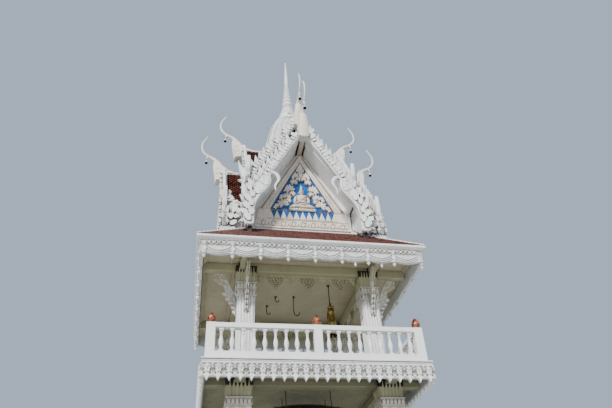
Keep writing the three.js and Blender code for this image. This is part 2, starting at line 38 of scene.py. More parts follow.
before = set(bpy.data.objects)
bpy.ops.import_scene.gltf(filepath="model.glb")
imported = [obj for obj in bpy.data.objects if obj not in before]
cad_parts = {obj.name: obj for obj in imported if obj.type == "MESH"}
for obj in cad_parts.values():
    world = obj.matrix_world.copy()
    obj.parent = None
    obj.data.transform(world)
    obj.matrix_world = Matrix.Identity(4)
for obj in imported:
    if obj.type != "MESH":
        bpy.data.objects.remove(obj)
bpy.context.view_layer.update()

QUARTER = pi / 2
SIDES = ["front", "right", "back", "left"]
CORNERS = ["front_left", "front_right", "back_right", "back_left"]
WELD = 1e-5
# How far an ornament is let into what carries it.
BITE = 0.006

# Floors: levels and half widths.
FLOORS = {"drum": 3.25, "bell": 6.5}
LIP = 2.75
BAND = 2.738
LACE_FACE = 2.722
LACE_BACK = 2.637
LACE_UNITS = 22

# Roof: half of the ridge-to-eave line, and both tiers' ridges and ends.
ROOF_LINE = [(0.0, 0.0), (0.42, -0.76), (1.0, -1.7), (1.6, -2.64)]
# The same down to the lower roofs' tilted eave.
EAVE_LINE = [*ROOF_LINE, (1.78, -2.92)]
LOWER_RIDGE = 14.3
LOWER_END = 2.26
UPPER_RIDGE = 15.43
UPPER_END = 1.62
SKIRT_EAVE = (3.045, 9.645)
SKIRT_TOP = (1.6, 10.885)
SKIRT_FALL = (SKIRT_TOP[1] - SKIRT_EAVE[1]) / (SKIRT_EAVE[0] - SKIRT_TOP[0])
# A point just below the front of the skirt roof, and the way down through it.
SKIRT_UNDER, SKIRT_DOWN = (0, -1.6, 10.87), (0, SKIRT_FALL, -1.0)


# Modelling, as by hand.


def settle():
    """Leaves edit mode with nothing selected."""
    if bpy.context.object and bpy.context.object.mode == "EDIT":
        bpy.ops.object.mode_set(mode="OBJECT")
    bpy.ops.object.select_all(action="DESELECT")


def edit(piece):
    """Opens one piece in edit mode, all of it selected."""
    settle()
    bpy.context.view_layer.objects.active = piece
    piece.select_set(True)
    bpy.ops.object.mode_set(mode="EDIT")
    bpy.ops.mesh.select_all(action="SELECT")


def pick(piece, chosen, kind="verts"):
    """Selects only the vertices, edges or faces that a test picks."""
    bpy.ops.mesh.select_all(action="DESELECT")
    bpy.context.tool_settings.mesh_select_mode = (kind == "verts", kind == "edges", kind == "faces")
    mesh = bmesh.from_edit_mesh(piece.data)
    for part in getattr(mesh, kind):
        part.select_set(bool(chosen(part)))
    mesh.select_flush_mode()
    bmesh.update_edit_mesh(piece.data)


def drawn(points):
    """An open outline, drawn corner by corner, and left in edit mode."""
    settle()
    bpy.ops.mesh.primitive_plane_add(size=1)
    piece = bpy.context.object
    bpy.ops.object.mode_set(mode="EDIT")
    bpy.context.tool_settings.mesh_select_mode = (True, False, False)
    bpy.ops.mesh.merge(type="CENTER")
    bpy.ops.transform.translate(value=points[0])
    for here, there in zip(points, points[1:]):
        step = Vector(there) - Vector(here)
        bpy.ops.mesh.extrude_vertices_move(TRANSFORM_OT_translate={"value": step})
    return piece


def outward():
    """Merges doubles and turns every face outwards."""
    bpy.ops.mesh.select_all(action="SELECT")
    bpy.ops.mesh.remove_doubles(threshold=WELD)
    bpy.ops.mesh.normals_make_consistent(inside=False)


def plate(outline, near, far, bevel=0.0):
    """A board of an upright outline in X and Z, from y near back to y far."""
    piece = drawn(upright(outline, near))
    bpy.ops.mesh.select_all(action="SELECT")
    bpy.ops.mesh.edge_face_add()
    bpy.ops.mesh.extrude_region_move(TRANSFORM_OT_translate={"value": (0, far - near, 0)})
    outward()
    if bevel:
        pick(piece, lambda f: abs(f.normal.y) > 0.99 and f.calc_center_median().y < (near + far) / 2,
            "faces")
        bpy.ops.mesh.inset(thickness=bevel, depth=0)
        bpy.ops.transform.translate(value=(0, -bevel if near < far else bevel, 0))
    settle()
    return piece


def lens(outline, middle, deep, bevel):
    """A board of an upright outline, bevelled on both faces, from the middle depth out to each side."""
    front = plate(outline, middle - deep, middle, bevel)
    back = copied(front, shift(y=2 * middle) @ along_y(-1))
    return joined([front, back])


def turned(profile, steps, at=(0, 0, 0)):
    """A profile of (radius, height) spun round the upright through a point."""
    piece = drawn([(r, 0, z) for r, z in profile])
    bpy.ops.mesh.select_all(action="SELECT")
    bpy.ops.mesh.spin(steps=steps, angle=2 * pi, center=(0, 0, 0), axis=(0, 0, 1))
    outward()
    bpy.ops.transform.translate(value=at)
    settle()
    return piece


def squared(profile):
    """A profile carried round a square, its distances those of the flat sides."""
    return moved(turned([(r * sqrt(2), z) for r, z in profile], 4), spun(QUARTER / 2))


def stepped(half, foot, steps):
    """A solid square profile: steps of (out from the half width, up from the foot)."""
    line = [(half + u, foot + v) for u, v in steps]
    return squared([(0, line[0][1]), *line, (0, line[-1][1])])


def block(low, high, bevel=0.006):
    """A box with its edges broken."""
    settle()
    size = Vector(high) - Vector(low)
    bpy.ops.mesh.primitive_cube_add(size=1, location=(Vector(high) + Vector(low)) / 2, scale=size)
    piece = bpy.context.object
    bpy.ops.object.transform_apply(location=True, rotation=True, scale=True)
    edit(piece)
    bpy.ops.mesh.bevel(offset=min(bevel, min(size) / 4), segments=1, affect="EDGES")
    settle()
    return piece


def raised(outline, stations):
    """An outline in X and Y carried up: stations of (height, scale of the outline)."""
    height, scale = stations[0]
    piece = drawn([(u * scale, v * scale, height) for u, v in outline])
    bpy.ops.mesh.select_all(action="SELECT")
    bpy.ops.mesh.edge_face_add()
    for (z0, s0), (z1, s1) in zip(stations, stations[1:]):
        bpy.ops.mesh.extrude_region_move(TRANSFORM_OT_translate={"value": (0, 0, z1 - z0)})
        bpy.ops.transform.resize(value=(s1 / s0, s1 / s0, 1), center_override=(0, 0, z1))
    outward()
    settle()
    return piece


def tube(points, radii, sides=8, closed=False):
    """A round bar along a smooth line, thick at each point as its radius says."""
    settle()
    bpy.ops.curve.primitive_nurbs_path_add()
    piece = bpy.context.object
    curve = piece.data
    curve.splines.clear()
    spline = curve.splines.new("POLY")
    spline.points.add(len(points) - 1)
    if isinstance(radii, float):
        radii = [radii] * len(points)
    for knot, point, radius in zip(spline.points, points, radii):
        knot.co = (*point, 1)
        knot.radius = radius
    spline.use_cyclic_u = closed
    spline.use_smooth = True
    curve.dimensions = "3D"
    curve.bevel_depth = 1.0
    curve.bevel_resolution = max(0, (sides - 4) // 2)
    curve.use_fill_caps = not closed
    bpy.ops.object.convert(target="MESH")
    piece = bpy.context.object
    edit(piece)
    outward()
    settle()
    return piece


def petal(half, rows, thick, crest=0.25):
    """An upright leaf facing -Y: rows of (height, share of the half width, distance forward)."""
    settle()
    count = len(rows) - 1
    bpy.ops.mesh.primitive_grid_add(x_subdivisions=2, y_subdivisions=count, size=2, rotation=(QUARTER, 0, 0))
    piece = bpy.context.object
    bpy.ops.object.transform_apply(location=True, rotation=True, scale=True)
    edit(piece)
    levels = [-1 + 2 * k / count for k in range(count + 1)]
    mesh = bmesh.from_edit_mesh(piece.data)
    for vertex in mesh.verts:
        k = min(range(count + 1), key=lambda n: abs(levels[n] - vertex.co.z))
        height, share, forward = rows[k]
        middle = 0.0 if abs(vertex.co.x) > 0.5 else crest * half * share
        vertex.co = (vertex.co.x * half * share, -forward - middle, height)
    bmesh.update_edit_mesh(piece.data)
    outward()
    settle()
    thicken = piece.modifiers.new("Thickness", "SOLIDIFY")
    thicken.thickness = thick
    thicken.offset = 0
    apply_all(piece)
    edit(piece)
    outward()
    settle()
    return piece


def apply_all(piece):
    """Applies every modifier of a piece."""
    settle()
    bpy.context.view_layer.objects.active = piece
    piece.select_set(True)
    for modifier in list(piece.modifiers):
        bpy.ops.object.modifier_apply(modifier=modifier.name)


def repeated(piece, count, step):
    """The piece in a row of copies."""
    rows = piece.modifiers.new("Row", "ARRAY")
    rows.count = count
    rows.use_relative_offset = False
    rows.use_constant_offset = True
    rows.constant_offset_displace = step
    apply_all(piece)
    return piece


def copied(piece, place):
    """A copy with a mesh of its own, set by a matrix."""
    twin = piece.copy()
    twin.data = piece.data.copy()
    twin.data.transform(place)
    if place.determinant() < 0:
        twin.data.flip_normals()
    bpy.context.scene.collection.objects.link(twin)
    return twin


def moved(piece, place):
    """The piece itself, set by a matrix."""
    piece.data.transform(place)
    if place.determinant() < 0:
        piece.data.flip_normals()
    return piece


def joined(parts):
    """Several pieces as one."""
    settle()
    for part in parts:
        part.select_set(True)
    bpy.context.view_layer.objects.active = parts[0]
    if len(parts) > 1:
        bpy.ops.object.join()
    return bpy.context.view_layer.objects.active


def spread(piece, places):
    """Copies of a piece at each place, as one, in its stead."""
    copies = [copied(piece, place) for place in places]
    discard(piece)
    return joined(copies)


def discard(*pieces):
    for piece in pieces:
        bpy.data.objects.remove(piece)


def shift(x=0.0, y=0.0, z=0.0):
    return Matrix.Translation((x, y, z))


def spun(angle, axis="Z"):
    return Matrix.Rotation(angle, 4, axis)


def along_x(factor):
    return Matrix.Scale(factor, 4, (1, 0, 0))


def along_y(factor):
    return Matrix.Scale(factor, 4, (0, 1, 0))


def both_ways(piece):
    """The piece and its mirror image across the middle, as one."""
    return joined([piece, copied(piece, along_x(-1))])


def all_round(piece, start=0.0):
    """Four copies of a piece, turned about the upright from a share of a quarter turn."""
    return spread(piece, [spun((k + start) * QUARTER) for k in range(4)])


def upright(line, y):
    """A line of (across, up) as points on the plane at y."""
    return [(u, y, v) for u, v in line]


def circle(radius, count):
    return [(radius * cos(a), radius * sin(a)) for a in [2 * pi * k / count for k in range(count)]]


def fourfold(points):
    """A quarter of an outline carried round to all four."""
    return [tuple(Matrix.Rotation(k * QUARTER, 2) @ Vector(p)) for k in range(4) for p in points]


def smooth(points, per):
    """A smooth line through points of two or three numbers."""
    points = [Vector(p) for p in points]
    ends = [points[0] * 2 - points[1], *points, points[-1] * 2 - points[-2]]
    line = []
    for p0, p1, p2, p3 in zip(ends, ends[1:], ends[2:], ends[3:]):
        for k in range(per):
            t = k / per
            second, third = 2 * p0 - 5 * p1 + 4 * p2 - p3, 3 * p1 - p0 - 3 * p2 + p3
            line.append(0.5 * (2 * p1 + (p2 - p0) * t + second * t**2 + third * t**3))
    return [tuple(p) for p in [*line, points[-1]]]


def mirrored(half):
    """A half outline and its mirror image, closed at the middle."""
    return [*half, *[(-u, v) for u, v in reversed(half) if abs(u) > WELD]]


def rounded(piece, angle=35):
    """Smooth shading, but for the edges sharper than the angle."""
    settle()
    bpy.context.view_layer.objects.active = piece
    piece.select_set(True)
    bpy.ops.object.shade_smooth_by_angle(angle=radians(angle))
    return piece


def coated(piece, finish):
    """Gives a piece one finish."""
    piece.data.materials.clear()
    piece.data.materials.append(FINISHES[finish])
    return piece


def set_down(piece, name, stands_for=(), body="tower"):
    """Names a finished piece and ties it to its body and the nodes that it stands for."""
    piece.name = piece.data.name = name
    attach(piece, body)
    if stands_for:
        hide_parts(*stands_for)


def set_round(piece, stem, stands_for=False, places=SIDES):
    """Four copies of a front or front-left piece, turned to the sides or corners and named after them."""
    for k, place in enumerate(places):
        name = f"{stem}_{place}"
        if stands_for:
            set_down(copied(piece, spun(k * QUARTER)), name + "_work", [name])
        else:
            set_down(copied(piece, spun(k * QUARTER)), name)
    discard(piece)


# Finishes, from nodes on Object coordinates.


def node(tree, kind, inputs=None, **settings):
    """A node with its settings, and its inputs given as values or as sockets to link."""
    made = tree.nodes.new(kind)
    for key, value in settings.items():
        setattr(made, key, value)
    for key, value in (inputs or {}).items():
        if isinstance(value, bpy.types.NodeSocket):
            tree.links.new(value, made.inputs[key])
        else:
            made.inputs[key].default_value = value
    return made


def place_on(tree, stretch):
    """The place on the piece, stretched."""
    here = node(tree, "ShaderNodeTexCoord")
    return node(tree, "ShaderNodeMapping", {"Vector": here.outputs["Object"], "Scale": stretch}).outputs[0]


def cloud(tree, scale, detail=4.0, stretch=(1, 1, 1), rough=0.55):
    """Soft noise over the piece."""
    inputs = {"Vector": place_on(tree, stretch), "Scale": scale, "Detail": detail, "Roughness": rough}
    return node(tree, "ShaderNodeTexNoise", inputs).outputs["Fac"]


def ramp(tree, factor, stops):
    """Colours at stops along a factor."""
    stops = list(stops)
    made = node(tree, "ShaderNodeValToRGB", {"Fac": factor})
    steps = made.color_ramp.elements
    while len(steps) < len(stops):
        steps.new(0.5)
    for step, (position, colour) in zip(steps, stops):
        step.position = position
        step.color = (*colour, 1)
    return made.outputs["Color"]


def mask(tree, factor, low, high, most=1.0):
    """A share that rises from none at low to the most at high."""
    inputs = {"Value": factor, "From Min": low, "From Max": high, "To Min": 0.0, "To Max": most}
    return node(tree, "ShaderNodeMapRange", inputs).outputs[0]


def mixed(tree, share, under, over):
    """Two colours mixed by a share."""
    made = tree.nodes.new("ShaderNodeMix")
    made.data_type = "RGBA"
    for index, value in ((0, share), (6, under), (7, over)):
        if isinstance(value, bpy.types.NodeSocket):
            tree.links.new(value, made.inputs[index])
        else:
            made.inputs[index].default_value = (*value, 1) if index else value
    return made.outputs[2]


def hollow_dirt_and_shade(tree, reach, low, high):
    """The share of dirt and painted shade that the hollows hold: darker where ambient occlusion finds a
    corner.
    """
    corner = node(tree, "ShaderNodeAmbientOcclusion", {"Distance": reach}, samples=4, only_local=True)
    return mask(tree, corner.outputs["AO"], high, low)


def surface(name, colour, rough, bumps, metallic=0.0):
    """A finish: its material, with bumps of (height, depth) laid over each other."""
    material = bpy.data.materials.new(name)
    material.use_nodes = True
    tree = material.node_tree
    shader = tree.nodes["Principled BSDF"]
    shader.inputs["Metallic"].default_value = metallic
    tree.links.new(colour(tree), shader.inputs["Base Color"])
    tree.links.new(rough(tree), shader.inputs["Roughness"])
    normal = None
    for height, depth in bumps:
        inputs = {"Height": height(tree), "Distance": depth, "Strength": 1.0}
        if normal is not None:
            inputs["Normal"] = normal
        normal = node(tree, "ShaderNodeBump", inputs).outputs[0]
    if normal is not None:
        tree.links.new(normal, shader.inputs["Normal"])
    return material


def weathered(name, tones, stain, dirt_and_shade, streaks=0.5, hollows=0.8, reach=0.07):
    """Old limewashed render: clean and faded patches, rain streaks down the faces, dirt and painted shade in
    the hollows.
    """

    def colour(tree):
        patch = ramp(tree, cloud(tree, 1.3, 6), zip((0.35, 0.7), tones))
        runs = mask(tree, cloud(tree, 2.2, 8, (2.6, 2.6, 0.22), 0.7), 0.52, 0.72, streaks)
        run = mixed(tree, runs, patch, stain)
        specks = mask(tree, cloud(tree, 26, 5), 0.6, 0.75, streaks * 0.45)
        speckled = mixed(tree, specks, run, stain)
        # The hollows are darkened, part dirt and part painted shade.
        hollow = node(tree, "ShaderNodeMath", {0: hollow_dirt_and_shade(tree, reach, 0.45, 0.95), 1: hollows},
            operation="MULTIPLY").outputs[0]
        return mixed(tree, hollow, speckled, dirt_and_shade)

    def rough(tree):
        return mask(tree, cloud(tree, 9, 3), 0.0, 1.0, 1.6)

    return surface(name, colour, rough,
        [(lambda t: cloud(t, 14, 5), 0.006), (lambda t: cloud(t, 85, 4), 0.0015)])


def fired_tiles(name, tones, joint, chalk):
    """Clay tiles, each of its own tone, darker where they are worn or mossy."""

    def colour(tree):
        each = node(tree, "ShaderNodeNewGeometry").outputs["Random Per Island"]
        tone = ramp(tree, each, [(k / (len(tones) - 1), c) for k, c in enumerate(tones)])
        worn = mixed(tree, mask(tree, cloud(tree, 7, 6), 0.48, 0.66, 0.8), tone, joint)
        pale = mask(tree, cloud(tree, 16, 3), 0.56, 0.68, chalk)
        return mixed(tree, pale, worn, (0.4, 0.155, 0.085))

    return surface(name, colour, lambda t: mask(t, cloud(t, 20, 3), 0.0, 1.0, 1.7),
        [(lambda t: cloud(t, 40, 4), 0.004)])


def brushed(name, stops, tones, scale, rough, metallic=0.0, stretch=(1, 1, 1)):
    """Paint, metal or wood: tones at the stops of a drawn-out cloud, with a fine grain."""
    return surface(
        name,
        lambda t: ramp(t, cloud(t, scale, 6, stretch), zip(stops, tones)),
        lambda t: mask(t, cloud(t, scale * 2, 3, stretch), 0.0, 1.0, rough * 2),
        [(lambda t: cloud(t, scale * 6, 4, stretch), 0.002)],
        metallic,
    )


def shades(colour, *shares):
    """A colour made lighter or darker, once for each share."""
    return [tuple(c * share for c in colour) for share in shares]


def mix_finishes(look):
    """Every finish of the tower by name."""
    white, khaki, tile = look.white, look.khaki, look.tile
    orange = (tile[0] * 0.75, tile[1] * 0.42, tile[2] * 0.18)
    return {
        "white": weathered("weathered_white", shades(white, 1, 0.9), (0.42, 0.37, 0.29), (0.2, 0.17, 0.12)),
        "aged_white": weathered("aged_white", shades(white, 0.86, 0.74), (0.36, 0.32, 0.25),
            (0.12, 0.1, 0.07), 0.5, 0.9, 0.06),
        "shaft": weathered("column_white", shades(white, 1, 0.9), (0.48, 0.42, 0.33), (0.34, 0.29, 0.21),
            0.4, 0.6, 0.05),
        # A grey white that is painted shade, for the gaps behind lace and lattice.
        "recess": weathered("grimy_recess", shades(white, 0.55, 0.38), (0.2, 0.17, 0.12),
            (0.07, 0.055, 0.04), 0.6),
        "smooth_white": weathered("rail_white", shades(white, 1.04, 0.96), (0.52, 0.48, 0.41),
            (0.3, 0.26, 0.2), 0.22, 0.5),
        "horn": weathered("horn_cream", shades(look.horn, 1, 0.85), (0.45, 0.36, 0.23),
            (0.22, 0.17, 0.11), 0.35, 0.6),
        "cream": weathered("soffit_cream", shades(look.cream, 1, 0.86), (0.3, 0.25, 0.16),
            (0.14, 0.11, 0.07), 0.35, 0.4),
        "carved": weathered("carved_white", shades(white, 1.02, 0.9), (0.38, 0.28, 0.17),
            (0.09, 0.055, 0.03), 0.55, 1.0, 0.12),
        "warm": weathered("warm_render", [(0.76, 0.73, 0.66), (0.66, 0.61, 0.52)], (0.36, 0.27, 0.17),
            (0.17, 0.12, 0.07), 0.5, 0.9, 0.05),
        "ceiling": weathered("ceiling_board", [(0.56, 0.505, 0.365), (0.47, 0.42, 0.3)], (0.33, 0.26, 0.16),
            (0.14, 0.11, 0.06), 0.35, 0.4),
        # A darker copy of the khaki: painted shade under the floors.
        "underside": weathered("floor_underside", shades(khaki, 0.62, 0.52), (0.12, 0.1, 0.05),
            (0.07, 0.06, 0.03), 0.3, 0.4),
        # Khaki for the capitals' crowns: a stain, together with painted shade for their top, which is in
        # shade.
        "stained": weathered("stained_capital", shades(khaki, 1.15, 0.85), (0.14, 0.095, 0.05),
            (0.05, 0.035, 0.02), 0.6, 1.0, 0.06),
        "khaki": weathered("ceiling_khaki", shades(khaki, 1, 0.88), (0.26, 0.22, 0.12),
            (0.12, 0.1, 0.05), 0.3, 0.4),
        "valance": weathered("valance_khaki", shades(khaki, 1.25, 1), (0.16, 0.13, 0.06), (0.08, 0.06, 0.03),
            0.5, 0.9, 0.04),
        "plaster": weathered("aged_plaster", shades(look.plaster, 1, 0.82), (0.4, 0.27, 0.18),
            (0.15, 0.08, 0.04), 0.55, 0.95, 0.045),
        "azure": brushed("azure_paint", (0.3, 0.55, 0.8), shades(look.azure, 0.55, 1, 1.5), 9, 0.35),
        "tiles": fired_tiles("fired_tiles", shades(tile, 0.45, 1.1, 0.7, 1.5), (0.014, 0.009, 0.007), 0.3),
        "skirt_tiles": fired_tiles("skirt_tiles", shades(orange, 0.3, 0.95, 0.5, 1.5),
            (0.012, 0.007, 0.005), 0.3),
        "skirt_noses": fired_tiles("skirt_noses", shades(orange, 0.2, 1.0, 0.45, 2.0),
            (0.012, 0.006, 0.004), 0.3),
        "tile_noses": fired_tiles("tile_noses", shades(tile, 0.16, 0.6, 0.3, 1.1), (0.02, 0.01, 0.007), 0.2),
        "tile_board": brushed("tile_board", (0.4, 0.5, 0.65), shades(tile, 0.12, 0.45, 1), 14, 0.45),
        # Near black: painted shade under the tiles and in grooves.
        "under_tiles": brushed("dark_battens", (0.3, 0.7),
            [(0.01, 0.006, 0.005), (0.035, 0.015, 0.01)], 8, 0.45),
        "bud": brushed("stained_terracotta", (0.43, 0.5, 0.58, 0.75),
            [(0.05, 0.01, 0.006), *shades(look.bud, 0.8, 1, 1.5)], 11, 0.28),
        "brass": brushed("aged_brass", (0.3, 0.5, 0.75), shades(look.brass, 0.4, 1, 1.5), 7, 0.2, 0.85,
            (1, 1, 0.25)),
        "iron": brushed("forged_iron", (0.3, 0.7), [(0.012, 0.011, 0.01), (0.05, 0.043, 0.036)],
            25, 0.3, 0.5),
        "wood": brushed("dark_lacquer", (0.3, 0.7), [(0.006, 0.004, 0.003), (0.028, 0.014, 0.008)], 6, 0.22,
            0.0, (0.3, 3, 3)),
        "hide": brushed("drum_hide", (0.3, 0.7), [(0.2, 0.14, 0.085), (0.34, 0.25, 0.16)], 10, 0.35),
        "rope": brushed("twisted_rope", (0.35, 0.65), [(0.02, 0.015, 0.011), (0.09, 0.07, 0.052)], 60, 0.45),
        # Near black: painted shadow in gaps and slots.
        "hollow": brushed("sooty_hollow", (0.3, 0.7),
            [(0.008, 0.006, 0.005), (0.03, 0.024, 0.018)], 8, 0.45),
        "floor": brushed("pale_floor", (0.3, 0.7), [(0.55, 0.54, 0.5), (0.6, 0.59, 0.56)], 0.6, 0.45),
        "chime": brushed("tarnished_bells", (0.3, 0.7), [(0.008, 0.008, 0.007), (0.04, 0.035, 0.03)],
            20, 0.3, 0.4),
    }


# What a user would change.


def length(name, description, default):
    return FloatProperty(name=name, description=description, default=default, min=0.0, unit="LENGTH")


def tint(name, description, default):
    return FloatVectorProperty(name=name, description=description, default=default, size=3, min=0, max=1,
        subtype="COLOR")


class TowerLook(bpy.types.PropertyGroup):
    balusters: IntProperty(name="Balusters", description="Balusters in half a railing", default=9, min=1)
    baluster_first: length("First baluster", "From the middle of the railing to its first baluster", 0.262)
    baluster_pitch: length("Baluster pitch", "From one baluster to the next", 0.2565)
    reeds: IntProperty(name="Reeds", description="Reeds on each face of a column", default=5, min=1)
    reed_depth: length("Reed depth", "How deep the grooves between the reeds are", 0.022)
    relief: length("Relief", "How far the lace stands out from its board", 0.026)
    fin: length("Leaf fin", "Height of the leaf fins on the bargeboards", 0.22)
    fin_pitch: length("Fin pitch", "From one leaf fin to the next", 0.24)
    tile_wide: length("Tile width", "Width of a roof tile", 0.135)
    tile_shown: length("Tile shown", "How much of each tile shows below the next course", 0.105)
    tile_thick: length("Tile thickness", "Thickness of a tile's lower edge", 0.022)
    white: tint("White", "Limewashed render", (0.84, 0.855, 0.86))
    cream: tint("Cream", "The gables' soffits", (0.56, 0.52, 0.41))
    khaki: tint("Khaki", "Ceilings and beams", (0.43, 0.415, 0.265))
    horn: tint("Horn", "The horn finials", (0.82, 0.785, 0.7))
    plaster: tint("Plaster", "The pediments' aged plaster", (0.84, 0.76, 0.66))
    azure: tint("Azure", "The pediments' painted ground", (0.005, 0.1, 0.33))
    tile: tint("Tile", "Roof tiles", (0.22, 0.068, 0.044))
    bud: tint("Bud", "Lotus buds on the posts", (0.42, 0.12, 0.05))
    brass: tint("Brass", "The bell", (0.48, 0.33, 0.1))


# Shared ornament.


def star(points, out, into):
    """The outline of a star with a point straight up."""
    reaches = [out, into] * points
    return [(r * sin(k * pi / points), r * cos(k * pi / points)) for k, r in enumerate(reaches)]


def rosette(size, near, petals=8, deep=0.02):
    """A flower on an upright face at y near: pointed petals round a boss."""
    flower = plate(star(petals, size, size * 0.5), near - deep, near + BITE, deep * 0.35)
    boss = turned([(size * 0.34, 0), (size * 0.3, deep * 0.7), (0, deep * 1.1)], 8)
    moved(boss, shift(y=near - deep * 0.9) @ spun(QUARTER, "X"))
    return joined([flower, boss])


def acanthus(length, width, near, deep, hook=0.0):
    """A lobed leaf lying on an upright face, its foot at the origin and its tip up."""
    half = [(0.0, 0.0), (0.16, 0.02), (0.34, 0.12), (0.3, 0.26), (0.47, 0.34), (0.4, 0.5), (0.5, 0.6),
        (0.34, 0.76), (0.2, 0.86), (0.0, 1.0)]
    line = [(u * width + hook * v * v * length, v * length) for u, v in half]
    other = [(-u * width + hook * v * v * length, v * length) for u, v in reversed(half[1:-1])]
    return plate([*line, *other], near - deep, near + BITE, min(deep * 0.4, width * 0.08))


def leant(u, v, lean, size):
    """Where a leaf of length one goes on an upright face: its foot, its lean and its length."""
    return shift(u, 0, v) @ spun(lean, "Y") @ Matrix.Diagonal((size, 1, size, 1))


def lapped(places):
    """The places of leaves, each a little over the one before."""
    return [shift(y=-0.005 * (k % 4)) @ place for k, place in enumerate(places)]


def scroll(centre, size, turns, radius, start, way, depth, steps):
    """A spiral bar on an upright plane, thinning to its eye."""
    count = int(steps * turns) + 1
    points, radii = [], []
    for k in range(count):
        share = k / (count - 1)
        reach = size * (1 - 0.82 * share)
        angle = start + way * 2 * pi * turns * share
        points.append((centre[0] + reach * cos(angle), depth, centre[1] + reach * sin(angle)))
        radii.append(radius * (1 - 0.45 * share))
    return tube(points, radii, 6)


def edge_ring(points):
    """A closed moulding carried round the square of the tower."""
    return squared([*points, points[0]])


class ModelFloors(bpy.types.Operator):
    """Both floors: slab, beams, moulding band and the lace fascia with its hanging points"""

    bl_idname = "bell_tower.floors"
    bl_label = "Floors"

    BEAMS = {"drum": 1.86, "bell": 1.83}
    UNIT = 2 * LACE_FACE / LACE_UNITS
    # How much further the lace stands out than it is drawn.
    DEEPER = 1.7

    def lace(self, look):
        """One side of the lace at level zero."""
        face = -LACE_FACE
        front = face - look.relief + 0.006
        u = self.UNIT / 2
        leaf = mirrored([
            (0, -0.125), (0.026, -0.175), (0.058, -0.2), (0.044, -0.225), (0.078, -0.262), (0.052, -0.29),
            (0.066, -0.325), (0.036, -0.362), (0.05, -0.392), (0.08, -0.407), (u, -0.41), (u, -0.437),
            (0.058, -0.441), (0.036, -0.462), (0.024, -0.49), (0, -0.535),
        ])
        parts = [plate(leaf, front, face + 0.03, 0.006)]
        for low, high, half in ((-0.275, -0.16, 0.022), (-0.375, -0.285, 0.02)):
            middle = (low + high) / 2
            diamond = [(0, high), (half, middle), (0, low), (-half, middle)]
            parts.append(plate(diamond, front - 0.014, front + BITE, 0.006))
        flower = plate(star(6, 0.048, 0.02), front - 0.004, face + BITE, 0.008)
        parts.append(moved(flower, shift(u, 0, -0.236)))
        fan = plate([(-0.03, -0.152), (0, -0.135), (0.03, -0.152), (0.014, -0.18), (0, -0.196),
            (-0.014, -0.18)], front + 0.002, face + BITE, 0.006)
        parts.append(moved(fan, shift(u)))
        for way in (-1, 1):
            for (x0, z0), (x1, z1), thick in (((0.02, -0.14), (u, -0.31), 0.01),
                    ((u, -0.166), (0.05, -0.26), 0.009), ((u, -0.31), (0.045, -0.375), 0.009)):
                parts.append(tube(upright([(way * x0, z0), (way * x1, z1)], face - 0.006), thick, 6))
            leaflet = plate([(0.075, -0.405), (0.092, -0.36), (0.115, -0.335), (u, -0.36), (u, -0.405)],
                front + 0.004, face + BITE, 0.006)
            parts.append(moved(leaflet, along_x(way)))
        bead = block((-0.013, face - 0.014, -0.141), (0.013, face + 0.004, -0.121), 0.004)
        parts.append(moved(repeated(bead, 6, (self.UNIT / 6, 0, 0)), shift(-u + self.UNIT / 12)))
        row = repeated(joined(parts), LACE_UNITS, (self.UNIT, 0, 0))
        return coated(moved(row, shift(-LACE_FACE + u)), "white")

    def execute(self, context):
        look = context.scene.bell_tower
        lace = self.lace(look)
        for name, level in FLOORS.items():
            slab = [block((-2.7, -2.7, level - 0.22), (2.7, 2.7, level - 0.012))]
            at, under, reach = self.BEAMS[name], level - 0.37, LACE_BACK + 0.01
            for side in (-at, at):
                slab.append(block((side - 0.12, -reach, under), (side + 0.12, reach, level - 0.2), 0.012))
                slab.append(block((-reach, side - 0.12, under + 0.001),
                    (reach, side + 0.12, level - 0.2), 0.012))
            # The slab and beams are painted shade: a darker khaki under the floor.
            set_down(coated(joined(slab), "underside"), f"{name}_floor_slab",
                [f"{name}_floor"])
            lip = edge_ring([(2.5, -0.035), (2.738, -0.035), (LIP, -0.027), (LIP, -0.006),
                (2.744, 0), (2.5, 0)])
            band = edge_ring([(2.6, -0.055), (BAND, -0.055), (BAND, -0.068), (2.724, -0.08), (2.724, -0.09),
                (BAND, -0.102), (BAND, -0.12), (2.6, -0.12)])
            edge = moved(joined([lip, band]), shift(z=level))
            set_down(coated(edge, "white"), f"{name}_floor_edge")
            # The backing behind the lace is painted shade.
            back = edge_ring([(LACE_BACK, -0.118), (LACE_FACE - 0.004, -0.118), (LACE_FACE - 0.004, -0.425),
                (LACE_BACK, -0.425)])
            set_down(coated(moved(back, shift(z=level)), "recess"), f"{name}_floor_backing")
            deep = shift(0, -LACE_FACE, level) @ along_y(self.DEEPER) @ shift(y=LACE_FACE)
            set_round(copied(lace, deep), f"{name}_floor_lace")
        discard(lace)
        return {"FINISHED"}


